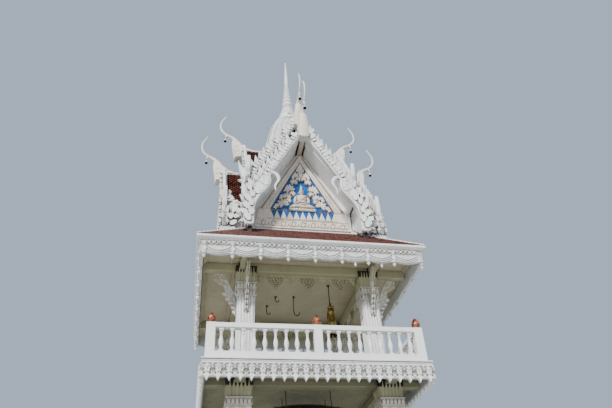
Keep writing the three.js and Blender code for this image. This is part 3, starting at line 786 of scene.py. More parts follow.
class ModelRailings(bpy.types.Operator):
    """The balustrades: posts, rails, turned balusters and the lotus buds on the posts"""

    bl_idname = "bell_tower.railings"
    bl_label = "Railings"

    OUTER, INNER, POST_BACK = 2.67, 2.49, 2.454
    # The rails' faces lie this far behind the posts'.
    SET_BACK = 0.004
    CURB, UNDER, TOP = 0.18, 0.765, 0.89
    BALUSTER = [
        (0, 0.222), (0.034, 0.222), (0.048, 0.232), (0.048, 0.248), (0.03, 0.262), (0.034, 0.3),
        (0.05, 0.355), (0.0575, 0.41), (0.05, 0.47), (0.032, 0.545), (0.0255, 0.6), (0.0255, 0.618),
        (0.038, 0.626), (0.038, 0.642), (0.027, 0.652), (0.027, 0.678), (0.042, 0.7), (0.048, 0.718),
        (0, 0.718),
    ]

    def baluster(self):
        shaft = rounded(turned(self.BALUSTER, 12))
        cap = block((-0.055, -0.055, 0.715), (0.055, 0.055, self.UNDER + 0.01))
        foot = block((-0.055, -0.055, self.CURB - 0.01), (0.055, 0.055, 0.225))
        return joined([shaft, cap, foot])

    def bud(self):
        """A lotus bud: a ring, a core and two rounds of petals closing on a point."""
        core = turned([(0, -0.003), (0.06, -0.003), (0.072, 0.012), (0.06, 0.026), (0.05, 0.03),
            (0.074, 0.06), (0.078, 0.1), (0.05, 0.16), (0.02, 0.205), (0.006, 0.232), (0, 0.233)], 12)
        low = petal(0.042, [(0.028, 0.6, 0.048), (0.055, 1.0, 0.074), (0.085, 0.95, 0.082),
            (0.118, 0.55, 0.076), (0.142, 0.06, 0.072)], 0.01)
        high = petal(0.042, [(0.05, 0.7, 0.068), (0.095, 1.0, 0.08), (0.135, 0.85, 0.066),
            (0.175, 0.5, 0.042), (0.21, 0.06, 0.018)], 0.01)
        lows = spread(low, [spun(k * pi / 3) for k in range(6)])
        highs = spread(high, [spun((k + 0.5) * pi / 3) for k in range(6)])
        return moved(rounded(joined([core, lows, highs]), 50), Matrix.Diagonal((1.16, 1.16, 1.32, 1.0)))

    def execute(self, context):
        look = context.scene.bell_tower
        out, back, inner = self.OUTER, self.INNER, self.POST_BACK
        front, behind = -out + self.SET_BACK, -back - self.SET_BACK
        parts = [
            block((-out, -out, 0.001), (-inner, -inner, self.TOP), 0.01),
            block((-0.1, -out, 0.001), (0.1, -back, self.TOP), 0.01),
        ]
        for low, high in ((0.001, self.CURB), (self.UNDER, self.TOP - 0.004)):
            parts.append(block((-inner - 0.05, front, low), (inner - 0.001, behind, high), 0.008))
        middle = (out + back) / 2
        turned_one = moved(self.baluster(), shift(look.baluster_first, -middle))
        parts.append(both_ways(repeated(turned_one, look.balusters, (look.baluster_pitch, 0, 0))))
        bay = coated(joined(parts), "smooth_white")
        post = (out + inner) / 2
        buds = coated(spread(self.bud(), [shift(-post, -post, self.TOP), shift(0, -post, self.TOP)]), "bud")
        for name, level in FLOORS.items():
            set_round(copied(bay, shift(z=level)), f"{name}_railing", stands_for=True)
            set_round(copied(buds, shift(z=level)), f"{name}_buds")
        discard(bay, buds)
        return {"FINISHED"}


class ModelColumns(bpy.types.Operator):
    """The three storeys' reeded columns with lotus capitals, and the top one's scroll brackets"""

    bl_idname = "bell_tower.columns"
    bl_label = "Columns"

    # Centre from the axis, half width, floor, underside of the beams, height of the capital.
    STOREYS = {
        "ground_column": (1.86, 0.285, 0.3, 2.88, 0.3),
        "drum_column": (1.83, 0.27, 3.25, 6.13, 0.3),
        "bell_column": (1.69, 0.235, 6.5, 9.25, 0.34),
    }
    NOTCH = 0.045
    # Out from the half width, and up from the foot or from the capital's foot.
    BASE = [(0.06, 0), (0.06, 0.09), (0.045, 0.1), (0.05, 0.13), (0.035, 0.16), (0.018, 0.17), (0.024, 0.2),
        (0.012, 0.24), (-0.005, 0.26)]
    RINGS = [(0.002, -0.41), (0.016, -0.395), (0.016, -0.375), (0.004, -0.37), (0.008, -0.28), (0.02, -0.27),
        (0.02, -0.255), (-0.002, -0.245), (-0.002, -0.2), (0.018, -0.19), (0.02, -0.165), (0.008, -0.16),
        (0.014, -0.045), (0.03, -0.035), (0.03, -0.01), (0.006, 0), (-0.012, 0.02)]
    # The bracket's outline, its scrolls (middle, size, start, way) and its leaves (foot, lean, length).
    WING = [(-0.01, 8.0), (0.05, 8.07), (0.06, 8.2), (0.09, 8.34), (0.165, 8.45), (0.26, 8.57),
        (0.315, 8.66), (0.315, 8.78), (0.35, 8.89), (0.46, 8.98), (0.56, 9.08), (0.6, 9.18), (0.585, 9.247),
        (0.4, 9.247), (0.32, 9.17), (0.25, 9.05), (0.19, 8.91), (0.125, 8.78), (0.05, 8.7), (-0.01, 8.67)]
    WING_SCROLLS = [(0.215, 8.7, 0.085, -1.6, 1), (0.1, 8.52, 0.06, 1.0, -1), (0.47, 9.13, 0.095, -1.6, 1),
        (0.3, 8.93, 0.07, 1.2, -1), (0.035, 8.3, 0.04, 1.0, 1)]
    WING_LEAVES = [(0.02, 8.06, 0.5, 0.13), (0.05, 8.2, 0.6, 0.13), (0.08, 8.34, 0.9, 0.15),
        (0.16, 8.45, 0.9, 0.15), (0.25, 8.58, 0.7, 0.16), (0.25, 8.8, 0.5, 0.14), (0.36, 8.92, 0.9, 0.16),
        (0.47, 9.0, 0.8, 0.16), (0.54, 9.1, 0.4, 0.13), (0.06, 8.42, 0.0, 0.14), (0.14, 8.6, -0.4, 0.14),
        (0.36, 9.05, -0.3, 0.16), (0.05, 8.6, 0.0, 0.12)]
    # Above this the bracket takes the cream finish: painted shade for its upper part, which lies in shade.
    PAINTED_SHADE_FROM = 8.87

    def plan(self, look, half):
        """The outline of a square shaft with stepped corners and reeds on its faces."""
        edge = half - self.NOTCH
        wide = 2 * edge / look.reeds
        face = []
        for k in range(look.reeds):
            for share, sunk in ((0, 1), (0.16, 0.3), (0.5, 0), (0.84, 0.3)):
                face.append((-edge + (k + share) * wide, -half + sunk * look.reed_depth))
        face += [(edge, -half + look.reed_depth), (edge, -edge)]
        return fourfold(face)

    def on_faces(self, make, count, half, corner=True):
        """Leaves along the four faces of a square, and one at each corner."""
        wide = 2 * half / count
        places = []
        for k in range(4):
            for n in range(count):
                places.append(spun(k * QUARTER) @ shift((n + 0.5) * wide - half, -half))
            if corner:
                places.append(spun((k + 0.5) * QUARTER) @ shift(0, -half * sqrt(2) + 0.02))
        return spread(make, places)

    def column(self, look, half, foot, head, crown):
        neck = head - foot - 0.001 - crown
        low = foot + neck
        base = stepped(half, foot, self.BASE)
        shaft = raised(self.plan(look, half), [(foot + 0.2, 1.0), (low - 0.3, 1.0)])
        rings = stepped(half, low, self.RINGS)
        leaf = petal(0.034, [(0, 0.8, 0), (0.04, 1.0, 0.022), (0.08, 0.8, 0.026), (0.115, 0.08, 0.012)],
            0.012)
        upper = moved(self.on_faces(copied(leaf, shift()), 6, half + 0.012, False), shift(z=low - 0.16))
        lower = moved(self.on_faces(leaf, 6, half + 0.006, False), shift(z=low - 0.375))
        rows = [(0, 0.85, 0.002), (0.3, 0.98, 0.006), (0.62, 0.98, 0.018), (0.78, 0.85, 0.032),
            (0.87, 0.45, 0.048), (1.0, 0.26, 0.062), (1.3, 0.12, 0.07)]
        tall = petal(0.044, [(h * (crown - 0.012), s, f) for h, s, f in rows], 0.012, 0.4)
        crown_leaves = moved(self.on_faces(tall, 6, half - 0.008), shift(z=low))
        core = stepped(half, low, [(-0.02, 0), (-0.004, crown * 0.5)])
        # A near-black collar at the capital's top: painted shadow between the crown's petals.
        hollow = squared([(0, low + crown * 0.48), (half - 0.02, low + crown * 0.48),
            (half - 0.008, head - 0.07), (half + 0.036, head - 0.04), (half + 0.052, head + 0.13),
            (0, head + 0.13)])
        flower = moved(rosette(0.062, 0.0), shift(0, -half, foot + 1.6))
        flowers = all_round(flower)
        white = coated(joined([base, shaft]), "shaft")
        warm = coated(joined([rings, upper, lower, flowers]), "warm")
        # The crown and core are khaki, a stain together with painted shade.
        return joined([white, warm, coated(joined([crown_leaves, core]), "stained"),
            coated(hollow, "hollow")])

    def bracket(self, half):
        """A carved panel that flares outwards from the column's face, drawn in X and Z at y zero."""
        parts = [lens(smooth([(half + u, v) for u, v in self.WING], 2), 0.0, 0.016, 0.008)]
        carving = []
        for u, v, size, start, way in self.WING_SCROLLS:
            carving.append(scroll((half + u, v), size, 1.5, 0.017, start, way, -0.018, 9))
        for u, v, lean, size in self.WING_LEAVES:
            leaf = acanthus(size, size * 0.66, -0.016, 0.018, 0.2)
            carving.append(moved(leaf, shift(half + u, 0, v) @ spun(lean, "Y")))
        front = joined(carving)
        whole = moved(rounded(joined([*parts, copied(front, along_y(-1)), front]), 40), spun(-QUARTER))
        coated(whole, "warm")
        # The upper part in cream is painted shade.
        whole.data.materials.append(FINISHES["cream"])
        edit(whole)
        pick(whole, lambda f: f.calc_center_median().z > self.PAINTED_SHADE_FROM, "faces")
        whole.active_material_index = 1
        bpy.ops.object.material_slot_assign()
        settle()
        return whole

    def execute(self, context):
        look = context.scene.bell_tower
        for name, (centre, half, foot, head, crown) in self.STOREYS.items():
            parts = [self.column(look, half, foot, head, crown)]
            if name == "bell_column":
                front = self.bracket(half)
                parts += [copied(front, spun(-QUARTER)), front]
            corner = moved(joined(parts), shift(-centre, -centre))
            set_round(corner, name, stands_for=True, places=CORNERS)
        return {"FINISHED"}


class ModelCeiling(bpy.types.Operator):
    """The bell storey's ceiling and beams, with the valances of arches, teeth and latticed pendants"""

    bl_idname = "bell_tower.ceiling"
    bl_label = "Ceiling"

    BEAM_IN, BEAM_OUT, BEAM_REACH = 1.68, 1.92, 2.8
    UNDER, CEILING = 9.25, 9.5
    VALANCE_Y = -1.74
    PITCH = 0.88
    # From a pendant's shoulder over the arch to the tooth.
    ARCH = [(0.19, 9.05), (0.205, 9.1), (0.235, 9.15), (0.268, 9.18), (0.3, 9.215), (0.332, 9.18),
        (0.365, 9.15), (0.395, 9.1), (0.412, 9.06), (0.44, 9.01)]

    def pendant(self, near):
        """A latticed drop of crossed bars and flowers, narrowing to a point."""
        parts = []
        rows = [(9.175, 0.19, 5), (9.115, 0.17, 4), (9.055, 0.135, 4), (8.995, 0.1, 3), (8.935, 0.062, 2),
            (8.875, 0.022, 1)]
        for level, half, count in rows:
            for k in range(count):
                at = 0 if count == 1 else -half + 2 * half * k / (count - 1)
                parts.append(moved(plate(star(4, 0.036, 0.019), near - 0.012, near + 0.03),
                    shift(at, 0, level)))
        for way in (-1, 1):
            for k in range(5):
                top = way * (0.19 - 0.095 * k)
                foot = top * 0.18 - way * 0.03
                bar = [(top, 9.21), (foot, 8.87 + 0.035 * abs(k - 2))]
                parts.append(tube(upright(bar, near + 0.01), 0.008, 6))
            rim = smooth([(way * 0.2, 9.2), (way * 0.19, 9.08), (way * 0.135, 8.99), (way * 0.08, 8.93),
                (way * 0.03, 8.86), (0, 8.79)], 2)
            parts.append(tube(upright(rim, near + 0.01), 0.011, 6))
        drop = plate(mirrored([(0, 8.87), (0.026, 8.84), (0, 8.775)]), near - 0.008, near + 0.028, 0.004)
        return joined([*parts, drop])

    def execute(self, context):
        inner, outer, reach = self.BEAM_IN, self.BEAM_OUT, self.BEAM_REACH
        parts = []
        for low in (-outer, inner):
            high = low + outer - inner
            parts.append(block((-outer, low, self.UNDER), (outer, high, self.CEILING + 0.02), 0.015))
            parts.append(block((low, -outer, self.UNDER + 0.001), (high, outer, self.CEILING + 0.02), 0.015))
            for near, far in ((-reach, -outer + 0.05), (outer - 0.05, reach)):
                parts.append(block((near, low + 0.05, self.UNDER + 0.01),
                    (far, high - 0.05, self.CEILING + 0.02), 0.012))
                parts.append(block((low + 0.05, near, self.UNDER + 0.011),
                    (high - 0.05, far, self.CEILING + 0.02), 0.012))
        cornice = edge_ring([(2.845, 9.44), (2.79, 9.45), (2.775, 9.47), (2.74, 9.485), (2.73, 9.501),
            (2.845, 9.501)])
        panel = edge_ring([(2.1, 9.475), (2.13, 9.48), (2.13, 9.501), (2.07, 9.501), (2.07, 9.48)])
        slab = coated(joined([block((-2.85, -2.85, self.CEILING), (2.85, 2.85, 9.6)), cornice, panel]),
            "ceiling")
        ceiling = joined([coated(joined(parts), "khaki"), slab])
        set_down(ceiling, "bell_ceiling_work", ["bell_ceiling"])
        near = self.VALANCE_Y
        teeth = [(-1.38, 9.252), (-1.38, 9.19), (-1.32, 9.01)]
        for at in (-self.PITCH, 0.0, self.PITCH):
            left = [(at - u, v) for u, v in reversed(self.ARCH)]
            teeth += left[1:] + [(at - 0.19, 9.19), (at + 0.19, 9.19)] + [(at + u, v) for u, v in self.ARCH]
        teeth += [(1.38, 9.19), (1.38, 9.252)]
        board = plate(teeth, near, near + 0.03, 0.004)
        hung = [moved(self.pendant(near), shift(at)) for at in (-self.PITCH, 0.02, self.PITCH + 0.03)]
        rail = block((-1.4, near - 0.02, 9.205), (1.4, near + 0.034, 9.25), 0.008)
        ribs = []
        for at in (-1.32, -0.44, 0.44, 1.32):
            rib = plate([(0, 9.2), (0.028, 9.13), (0, 9.03), (-0.028, 9.13)], near - 0.01,
                near + 0.002, 0.004)
            ribs.append(moved(rib, shift(at)))
        valance = coated(joined([board, *hung, rail, *ribs]), "valance")
        set_round(valance, "valance")
        return {"FINISHED"}


class ModelEaves(bpy.types.Operator):
    """The eaves fascia: a scalloped board with swags, flowers, cups and hanging drops"""

    bl_idname = "bell_tower.eaves"
    bl_label = "Eaves fascia"

    FACE = 2.94
    PITCH = 0.71
    PANELS = 8
    TOP = 9.6

    def board(self):
        """The board of one side, its foot cut in shallow scallops."""
        foot = [(-self.FACE, 9.17)]
        for k in range(self.PANELS):
            left = (k - self.PANELS / 2) * self.PITCH
            for n in range(1, 16):
                share = n / 16
                sag = 0.085 * sin(pi * share) ** 0.8
                foot.append((left + share * self.PITCH, 9.185 - sag - 0.014 * abs(sin(6 * pi * share))))
            foot.append((left + self.PITCH, 9.185))
        foot = foot[:-1] + [(self.FACE, 9.17)]
        return plate([*foot, (self.FACE, self.TOP), (-self.FACE, self.TOP)], -self.FACE, -2.862)

    def panel(self):
        """What repeats: from one drop to the next."""
        near = -self.FACE
        half = self.PITCH / 2
        parts = []
        for top, sag, radius in ((9.335, 0.125, 0.021), (9.272, 0.125, 0.019), (9.215, 0.115, 0.015)):
            line = [(-half + 0.035 + (self.PITCH - 0.07) * k / 20, near - 0.012,
                top - sag * sin(pi * k / 20)) for k in range(21)]
            parts.append(tube(line, [radius * (1.05 if k % 2 else 0.6) for k in range(21)], 6))
        parts.append(moved(rosette(0.052, near, 6, 0.036), shift(z=9.432)))
        for way in (-1, 1):
            for k in range(3):
                foot, head = (way * (-0.062 + 0.124 * (k + n)) for n in (0, 1))
                parts.append(tube(upright([(foot, 9.36), (head, 9.505)], near - 0.01), 0.015, 6))
                parts.append(tube(upright([(head, 9.36), (foot, 9.505)], near - 0.014), 0.015, 6))
                if k:
                    parts.append(moved(plate(star(4, 0.036, 0.02), near - 0.034, near),
                        shift(way * 0.124 * k, 0, 9.432)))
        star_drop = mirrored([(0, 9.24), (0.035, 9.225), (0.022, 9.195), (0, 9.175)])
        return joined([*parts, plate(star_drop, near - 0.014, near + BITE, 0.004)])

    def drop(self):
        """A cup with a ball, and the bud that hangs from it below the board."""
        near = -self.FACE
        cup = turned([(0, 9.335), (0.03, 9.337), (0.045, 9.36), (0.055, 9.39), (0.084, 9.43), (0.088, 9.44),
            (0.06, 9.446), (0, 9.446)], 10)
        ball = turned([(0, 9.285), (0.026, 9.293), (0.036, 9.313), (0.026, 9.332), (0, 9.338)], 10)
        bud = turned([(0, 8.975), (0.012, 8.99), (0.03, 9.02), (0.047, 9.045), (0.048, 9.06), (0.026, 9.075),
            (0.028, 9.088), (0.06, 9.105), (0.07, 9.128), (0.06, 9.155), (0.04, 9.175), (0.032, 9.2),
            (0, 9.205)], 10)
        strap = plate(mirrored([(0, 9.32), (0.036, 9.31), (0.054, 9.24), (0.04, 9.18), (0, 9.165)]),
            near - 0.034, near + 0.02, 0.008)
        parts = [moved(part, shift(y=near - 0.006)) for part in (cup, ball)]
        return rounded(joined([*parts, moved(bud, shift(y=near + 0.012)), strap]), 40)

    def execute(self, context):
        near = -self.FACE
        set_round(coated(self.board(), "aged_white"), "eaves_board")
        edge = self.PITCH * (self.PANELS - 1) / 2
        panels = moved(repeated(self.panel(), self.PANELS, (self.PITCH, 0, 0)), shift(-edge))
        drops = moved(repeated(self.drop(), self.PANELS, (self.PITCH, 0, 0)), shift(-edge - self.PITCH / 2))
        bead = rounded(turned([(0, -0.011), (0.009, -0.007), (0.012, 0), (0.009, 0.007), (0, 0.011)], 6))
        beads = repeated(moved(bead, shift(-2.9, near - 0.003, 9.345)), 118, (0.0496, 0, 0))
        lines = [
            block((-self.FACE - 0.012, near - 0.022, 9.5), (self.FACE, near + 0.01, 9.55), 0.008),
            block((-self.FACE - 0.004, near - 0.006, 9.545), (self.FACE, near + 0.01, 9.56), 0.004),
        ]
        # The ground behind the lattice is painted shade.
        ground = coated(block((-self.FACE + 0.01, near - 0.004, 9.362),
            (self.FACE - 0.01, near + 0.01, 9.505), 0.002), "recess")
        lace = joined([coated(joined([panels, drops, beads, *lines]), "white"), ground])
        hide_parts("eaves_fascia")
        set_round(lace, "eaves_lace")
        bulb = turned([(0, 8.93), (0.01, 8.945), (0.03, 8.975), (0.036, 9.0), (0.026, 9.03), (0.012, 9.045),
            (0.012, 9.06), (0.026, 9.07), (0.026, 9.085), (0.014, 9.1), (0.014, 9.14), (0, 9.14)], 10)
        bulbs = spread(rounded(bulb), [shift(at, near + 0.03) for at in (1.06, 1.78)])
        set_down(coated(bulbs, "white"), "eaves_bulbs")
        return {"FINISHED"}


# Roofs.


def slope_frame(u0, z0, u1, z1):
    """A matrix that lays a course drawn in X (along the eave) and Y (up the slope) on a slope facing +X."""
    up = Vector((u1 - u0, 0, z1 - z0)).normalized()
    along = Vector((0, 1, 0))
    out = along.cross(-up)
    if out.x < 0:
        out = -out
    turn = Matrix((along, up, out)).transposed().to_4x4()
    return Matrix.Translation((u0, 0, z0)) @ turn


def one_tile(look, pointed):
    """A tile with its lower edge rounded or straight, thicker there, flat below."""
    half = look.tile_wide / 2 - 0.004
    show = look.tile_shown
    thick = look.tile_thick
    foot = [(-half, 0.35 * show), (-half * 0.62, 0.06 * show), (0, -0.1 * show), (half * 0.62, 0.06 * show),
        (half, 0.35 * show)]
    if not pointed:
        foot = [(-half, 0.0), (half, 0.0)]
    outline = [*foot, (half, 1.25 * show), (-half, 1.25 * show)]
    piece = drawn([(u, v, 0.0) for u, v in outline])
    bpy.ops.mesh.select_all(action="SELECT")
    bpy.ops.mesh.edge_face_add()
    bpy.ops.mesh.extrude_region_move(TRANSFORM_OT_translate={"value": (0, 0, thick * 0.6)})
    pick(piece, lambda v: v.co.z > thick * 0.5 and v.co.y < 0.5 * show)
    bpy.ops.transform.translate(value=(0, 0, thick * 0.9))
    pick(piece, lambda v: v.co.z > thick * 0.5 and v.co.y > 0.5 * show)
    bpy.ops.transform.translate(value=(0, 0, -thick * 0.35))
    pick(piece, lambda f: f.normal.z < -0.5, "faces")
    bpy.ops.mesh.delete(type="ONLY_FACE")
    bpy.ops.mesh.select_all(action="SELECT")
    bpy.ops.mesh.normals_make_consistent(inside=False)
    piece.data.materials.append(FINISHES["tiles" if pointed else "skirt_tiles"])
    piece.data.materials.append(FINISHES["tile_noses" if pointed else "skirt_noses"])
    pick(piece, lambda f: f.normal.y < -0.5, "faces")
    piece.active_material_index = 1
    bpy.ops.object.material_slot_assign()
    settle()
    return piece


def courses(look, length, rise, pointed):
    """Tiles over a rectangle from the origin, length along X and rise along Y, in broken joints."""
    across = ceil(length / look.tile_wide) + 1
    up = ceil(rise / look.tile_shown)
    show = rise / up
    row = repeated(one_tile(look, pointed), across, (look.tile_wide, 0, 0))
    second = copied(row, shift(-look.tile_wide / 2, show))
    even = repeated(row, (up + 1) // 2, (0, 2 * show, 0))
    odd = repeated(second, max(1, up // 2), (0, 2 * show, 0))
    return joined([even, odd])


def trimmed(piece, point, normal):
    """Cuts away what lies on the normal's side of a plane."""
    edit(piece)
    bpy.ops.mesh.bisect(plane_co=point, plane_no=Vector(normal).normalized(), clear_outer=True,
        use_fill=False)
    settle()
    return piece


class ModelRoofs(bpy.types.Operator):
    """Tiles, ridge caps and the ridge beams under the gables, on the three roofs"""

    bl_idname = "bell_tower.roofs"
    bl_label = "Roofs"

    # Where each tier's tiles end, and the face of the gable walls.
    LOWER_FOOT, UPPER_FOOT = 11.3, 12.4
    WALL = 1.6
    # The bars of the hips: how many, and how far each laps over the next.
    HIP_BARS, HIP_LAP = 14, 0.12

    def arm_slope(self, look, ridge, end, lowest, line):
        """The tiled slope of the front arm that faces +X, cut at the valley."""
        parts = []
        for (u0, d0), (u1, d1) in zip(line, line[1:]):
            foot = Vector((u1, 0, ridge + d1))
            head = Vector((u0, 0, ridge + d0))
            if head.z < lowest:
                continue
            patch = courses(look, end, (head - foot).length, True)
            lay = slope_frame(foot.x, foot.z, head.x, head.z)
            parts.append(moved(patch, shift(y=-end) @ lay @ shift(z=0.006)))
        slope = joined(parts)
        trimmed(slope, (0, 0, 0), (1, 1, 0))
        trimmed(slope, (0, -end + 0.01, 0), (0, -1, 0))
        trimmed(slope, (0, 0, lowest), (0, 0, -1))
        return slope

    def gable_tiles(self, look, ridge, end, lowest, line, name):
        slope = self.arm_slope(look, ridge, end, lowest, line)
        (u0, d0), (u1, d1) = line[-2:]
        eave = [(u0, ridge + d0), (u1, ridge + d1), (u1 - 0.02, ridge + d1 - 0.06),
            (u0 - 0.02, ridge + d0 - 0.06)]
        # The eave board and the roof under the tiles are painted shade.
        board = coated(trimmed(plate(eave, -end + 0.002, 0), (0, 0, 0), (1, 1, 0)), "under_tiles")
        set_round(both_ways(joined([slope, board])), f"{name}_tiles")
        coated(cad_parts[f"{name}_roof"], "under_tiles")

    def ridge_cap(self, ridge, end):
        """A rounded cap along the ridge of the front arm, with its end stop."""
        section = [(-0.055, -0.06), (-0.06, 0.0), (-0.035, 0.035), (0, 0.05), (0.035, 0.035), (0.06, 0.0),
            (0.055, -0.06)]
        cap = plate([(u, ridge + v) for u, v in section], -end, 0.05)
        joints = [moved(plate([(u * 1.12, ridge + v * 1.15) for u, v in section], -0.02, 0.02), shift(y=-y))
            for y in [0.4 + 0.38 * k for k in range(int((end - 0.3) / 0.38))]]
        return joined([cap, *joints])

    def soffit(self, ridge, end, wall):
        """The ridge beam under the overhang, a slot of shade on each side of it, and the lining boards."""
        parts = [coated(block((-0.075, -end, ridge - 0.42), (0.075, -wall, ridge - 0.05), 0.012), "cream")]
        lining = []
        for (u0, d0), (u1, d1) in zip(ROOF_LINE, ROOF_LINE[1:]):
            inner = max(0.1, u0)
            z0 = ridge + d0 + (d1 - d0) * (inner - u0) / (u1 - u0) - 0.155
            outline = [(inner, z0), (u1, ridge + d1 - 0.155)]
            outline += [(u, v + 0.11) for u, v in reversed(outline)]
            lining.append(plate(outline, -end + 0.002, -wall + 0.01, 0.0))
        cheek = block((1.578, -end + 0.002, 10.1), (1.598, -wall + 0.05, 11.56), 0.003)
        lining.append(trimmed(cheek, (0, -1.6, 11.02), SKIRT_DOWN))
        boards = coated(both_ways(joined(lining)), "shaft")
        low, high = ridge - 0.42, ridge - 0.19
        slots = [block((at - 0.02, -end + 0.2, low), (at + 0.02, -wall - 0.02, high), 0.004)
            for at in (-0.105, 0.105)]
        # The slots are painted shadow beside the ridge beam.
        slots = [coated(slot, "hollow") for slot in slots]
        return joined([*parts, boards, *slots])

    def execute(self, context):
        look = context.scene.bell_tower
        self.gable_tiles(look, LOWER_RIDGE, LOWER_END, self.LOWER_FOOT, EAVE_LINE, "lower_gable")
        self.gable_tiles(look, UPPER_RIDGE, UPPER_END, self.UPPER_FOOT, ROOF_LINE, "upper_gable")
        caps = joined([self.ridge_cap(LOWER_RIDGE, LOWER_END), self.ridge_cap(UPPER_RIDGE, UPPER_END)])
        coated(caps, "white")
        set_round(caps, "ridge_caps")
        soffit = self.soffit(LOWER_RIDGE, LOWER_END - 0.004, self.WALL)
        set_round(soffit, "gable_soffit")
        self.skirt(look)
        return {"FINISHED"}

    def skirt(self, look):
        (u1, z1), (u0, z0) = SKIRT_EAVE, SKIRT_TOP
        rise = hypot(u1 - u0, z1 - z0)
        patch = courses(look, 2 * u1, rise, False)
        lay = slope_frame(u1, z1, u0, z0)
        slope = moved(patch, shift(y=-u1) @ lay @ shift(z=-0.03))
        trimmed(slope, (0, 0, 0), (-1, 1, 0))
        trimmed(slope, (0, 0, 0), (-1, -1, 0))
        set_round(moved(slope, spun(-QUARTER)), "skirt_tiles")
        coated(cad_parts["skirt_roof"], "tile_board")
        moulding = edge_ring([(2.945, 9.53), (2.966, 9.532), (2.985, 9.545), (3.028, 9.549), (3.048, 9.556),
            (3.056, 9.572), (3.056, 9.606), (3.05, 9.616), (2.945, 9.616)])
        set_down(coated(moulding, "shaft"), "skirt_moulding")
        foot, head = Vector((-u1 + 0.01, -u1 + 0.01, z1 - 0.004)), Vector((-u0, -u0, z0 + 0.004))
        parts = []
        for k in range(self.HIP_BARS):
            ends = [foot.lerp(head, share / self.HIP_BARS) for share in (k, k + 1 + self.HIP_LAP)]
            parts.append(tube([tuple(end) for end in ends], [0.036, 0.028]))
        set_round(coated(joined(parts), "white"), "skirt_hip", places=CORNERS)
        sill = edge_ring([(1.585, 10.84), (1.66, 10.845), (1.665, 10.88), (1.63, 10.905), (1.61, 10.95),
            (1.585, 10.955)])
        set_down(coated(sill, "white"), "skirt_sill")


# Gables.


def along(line, pitch, margin=0.0):
    """Places spaced along an upright line: X runs along it and Z stands off its left side."""
    points = [Vector((u, 0, v)) for u, v in line]
    spans = [(b - a).length for a, b in zip(points, points[1:])]
    total = sum(spans) - 2 * margin
    count = max(1, round(total / pitch))
    places = []
    for k in range(count):
        at = margin + (k + 0.5) * total / count
        for a, b, span in zip(points, points[1:], spans):
            if at <= span:
                run = (b - a).normalized()
                place = Matrix((run, Vector((0, 1, 0)), run.cross(Vector((0, 1, 0))))).transposed().to_4x4()
                place.translation = a + run * at
                places.append(place)
                break
            at -= span
    return places


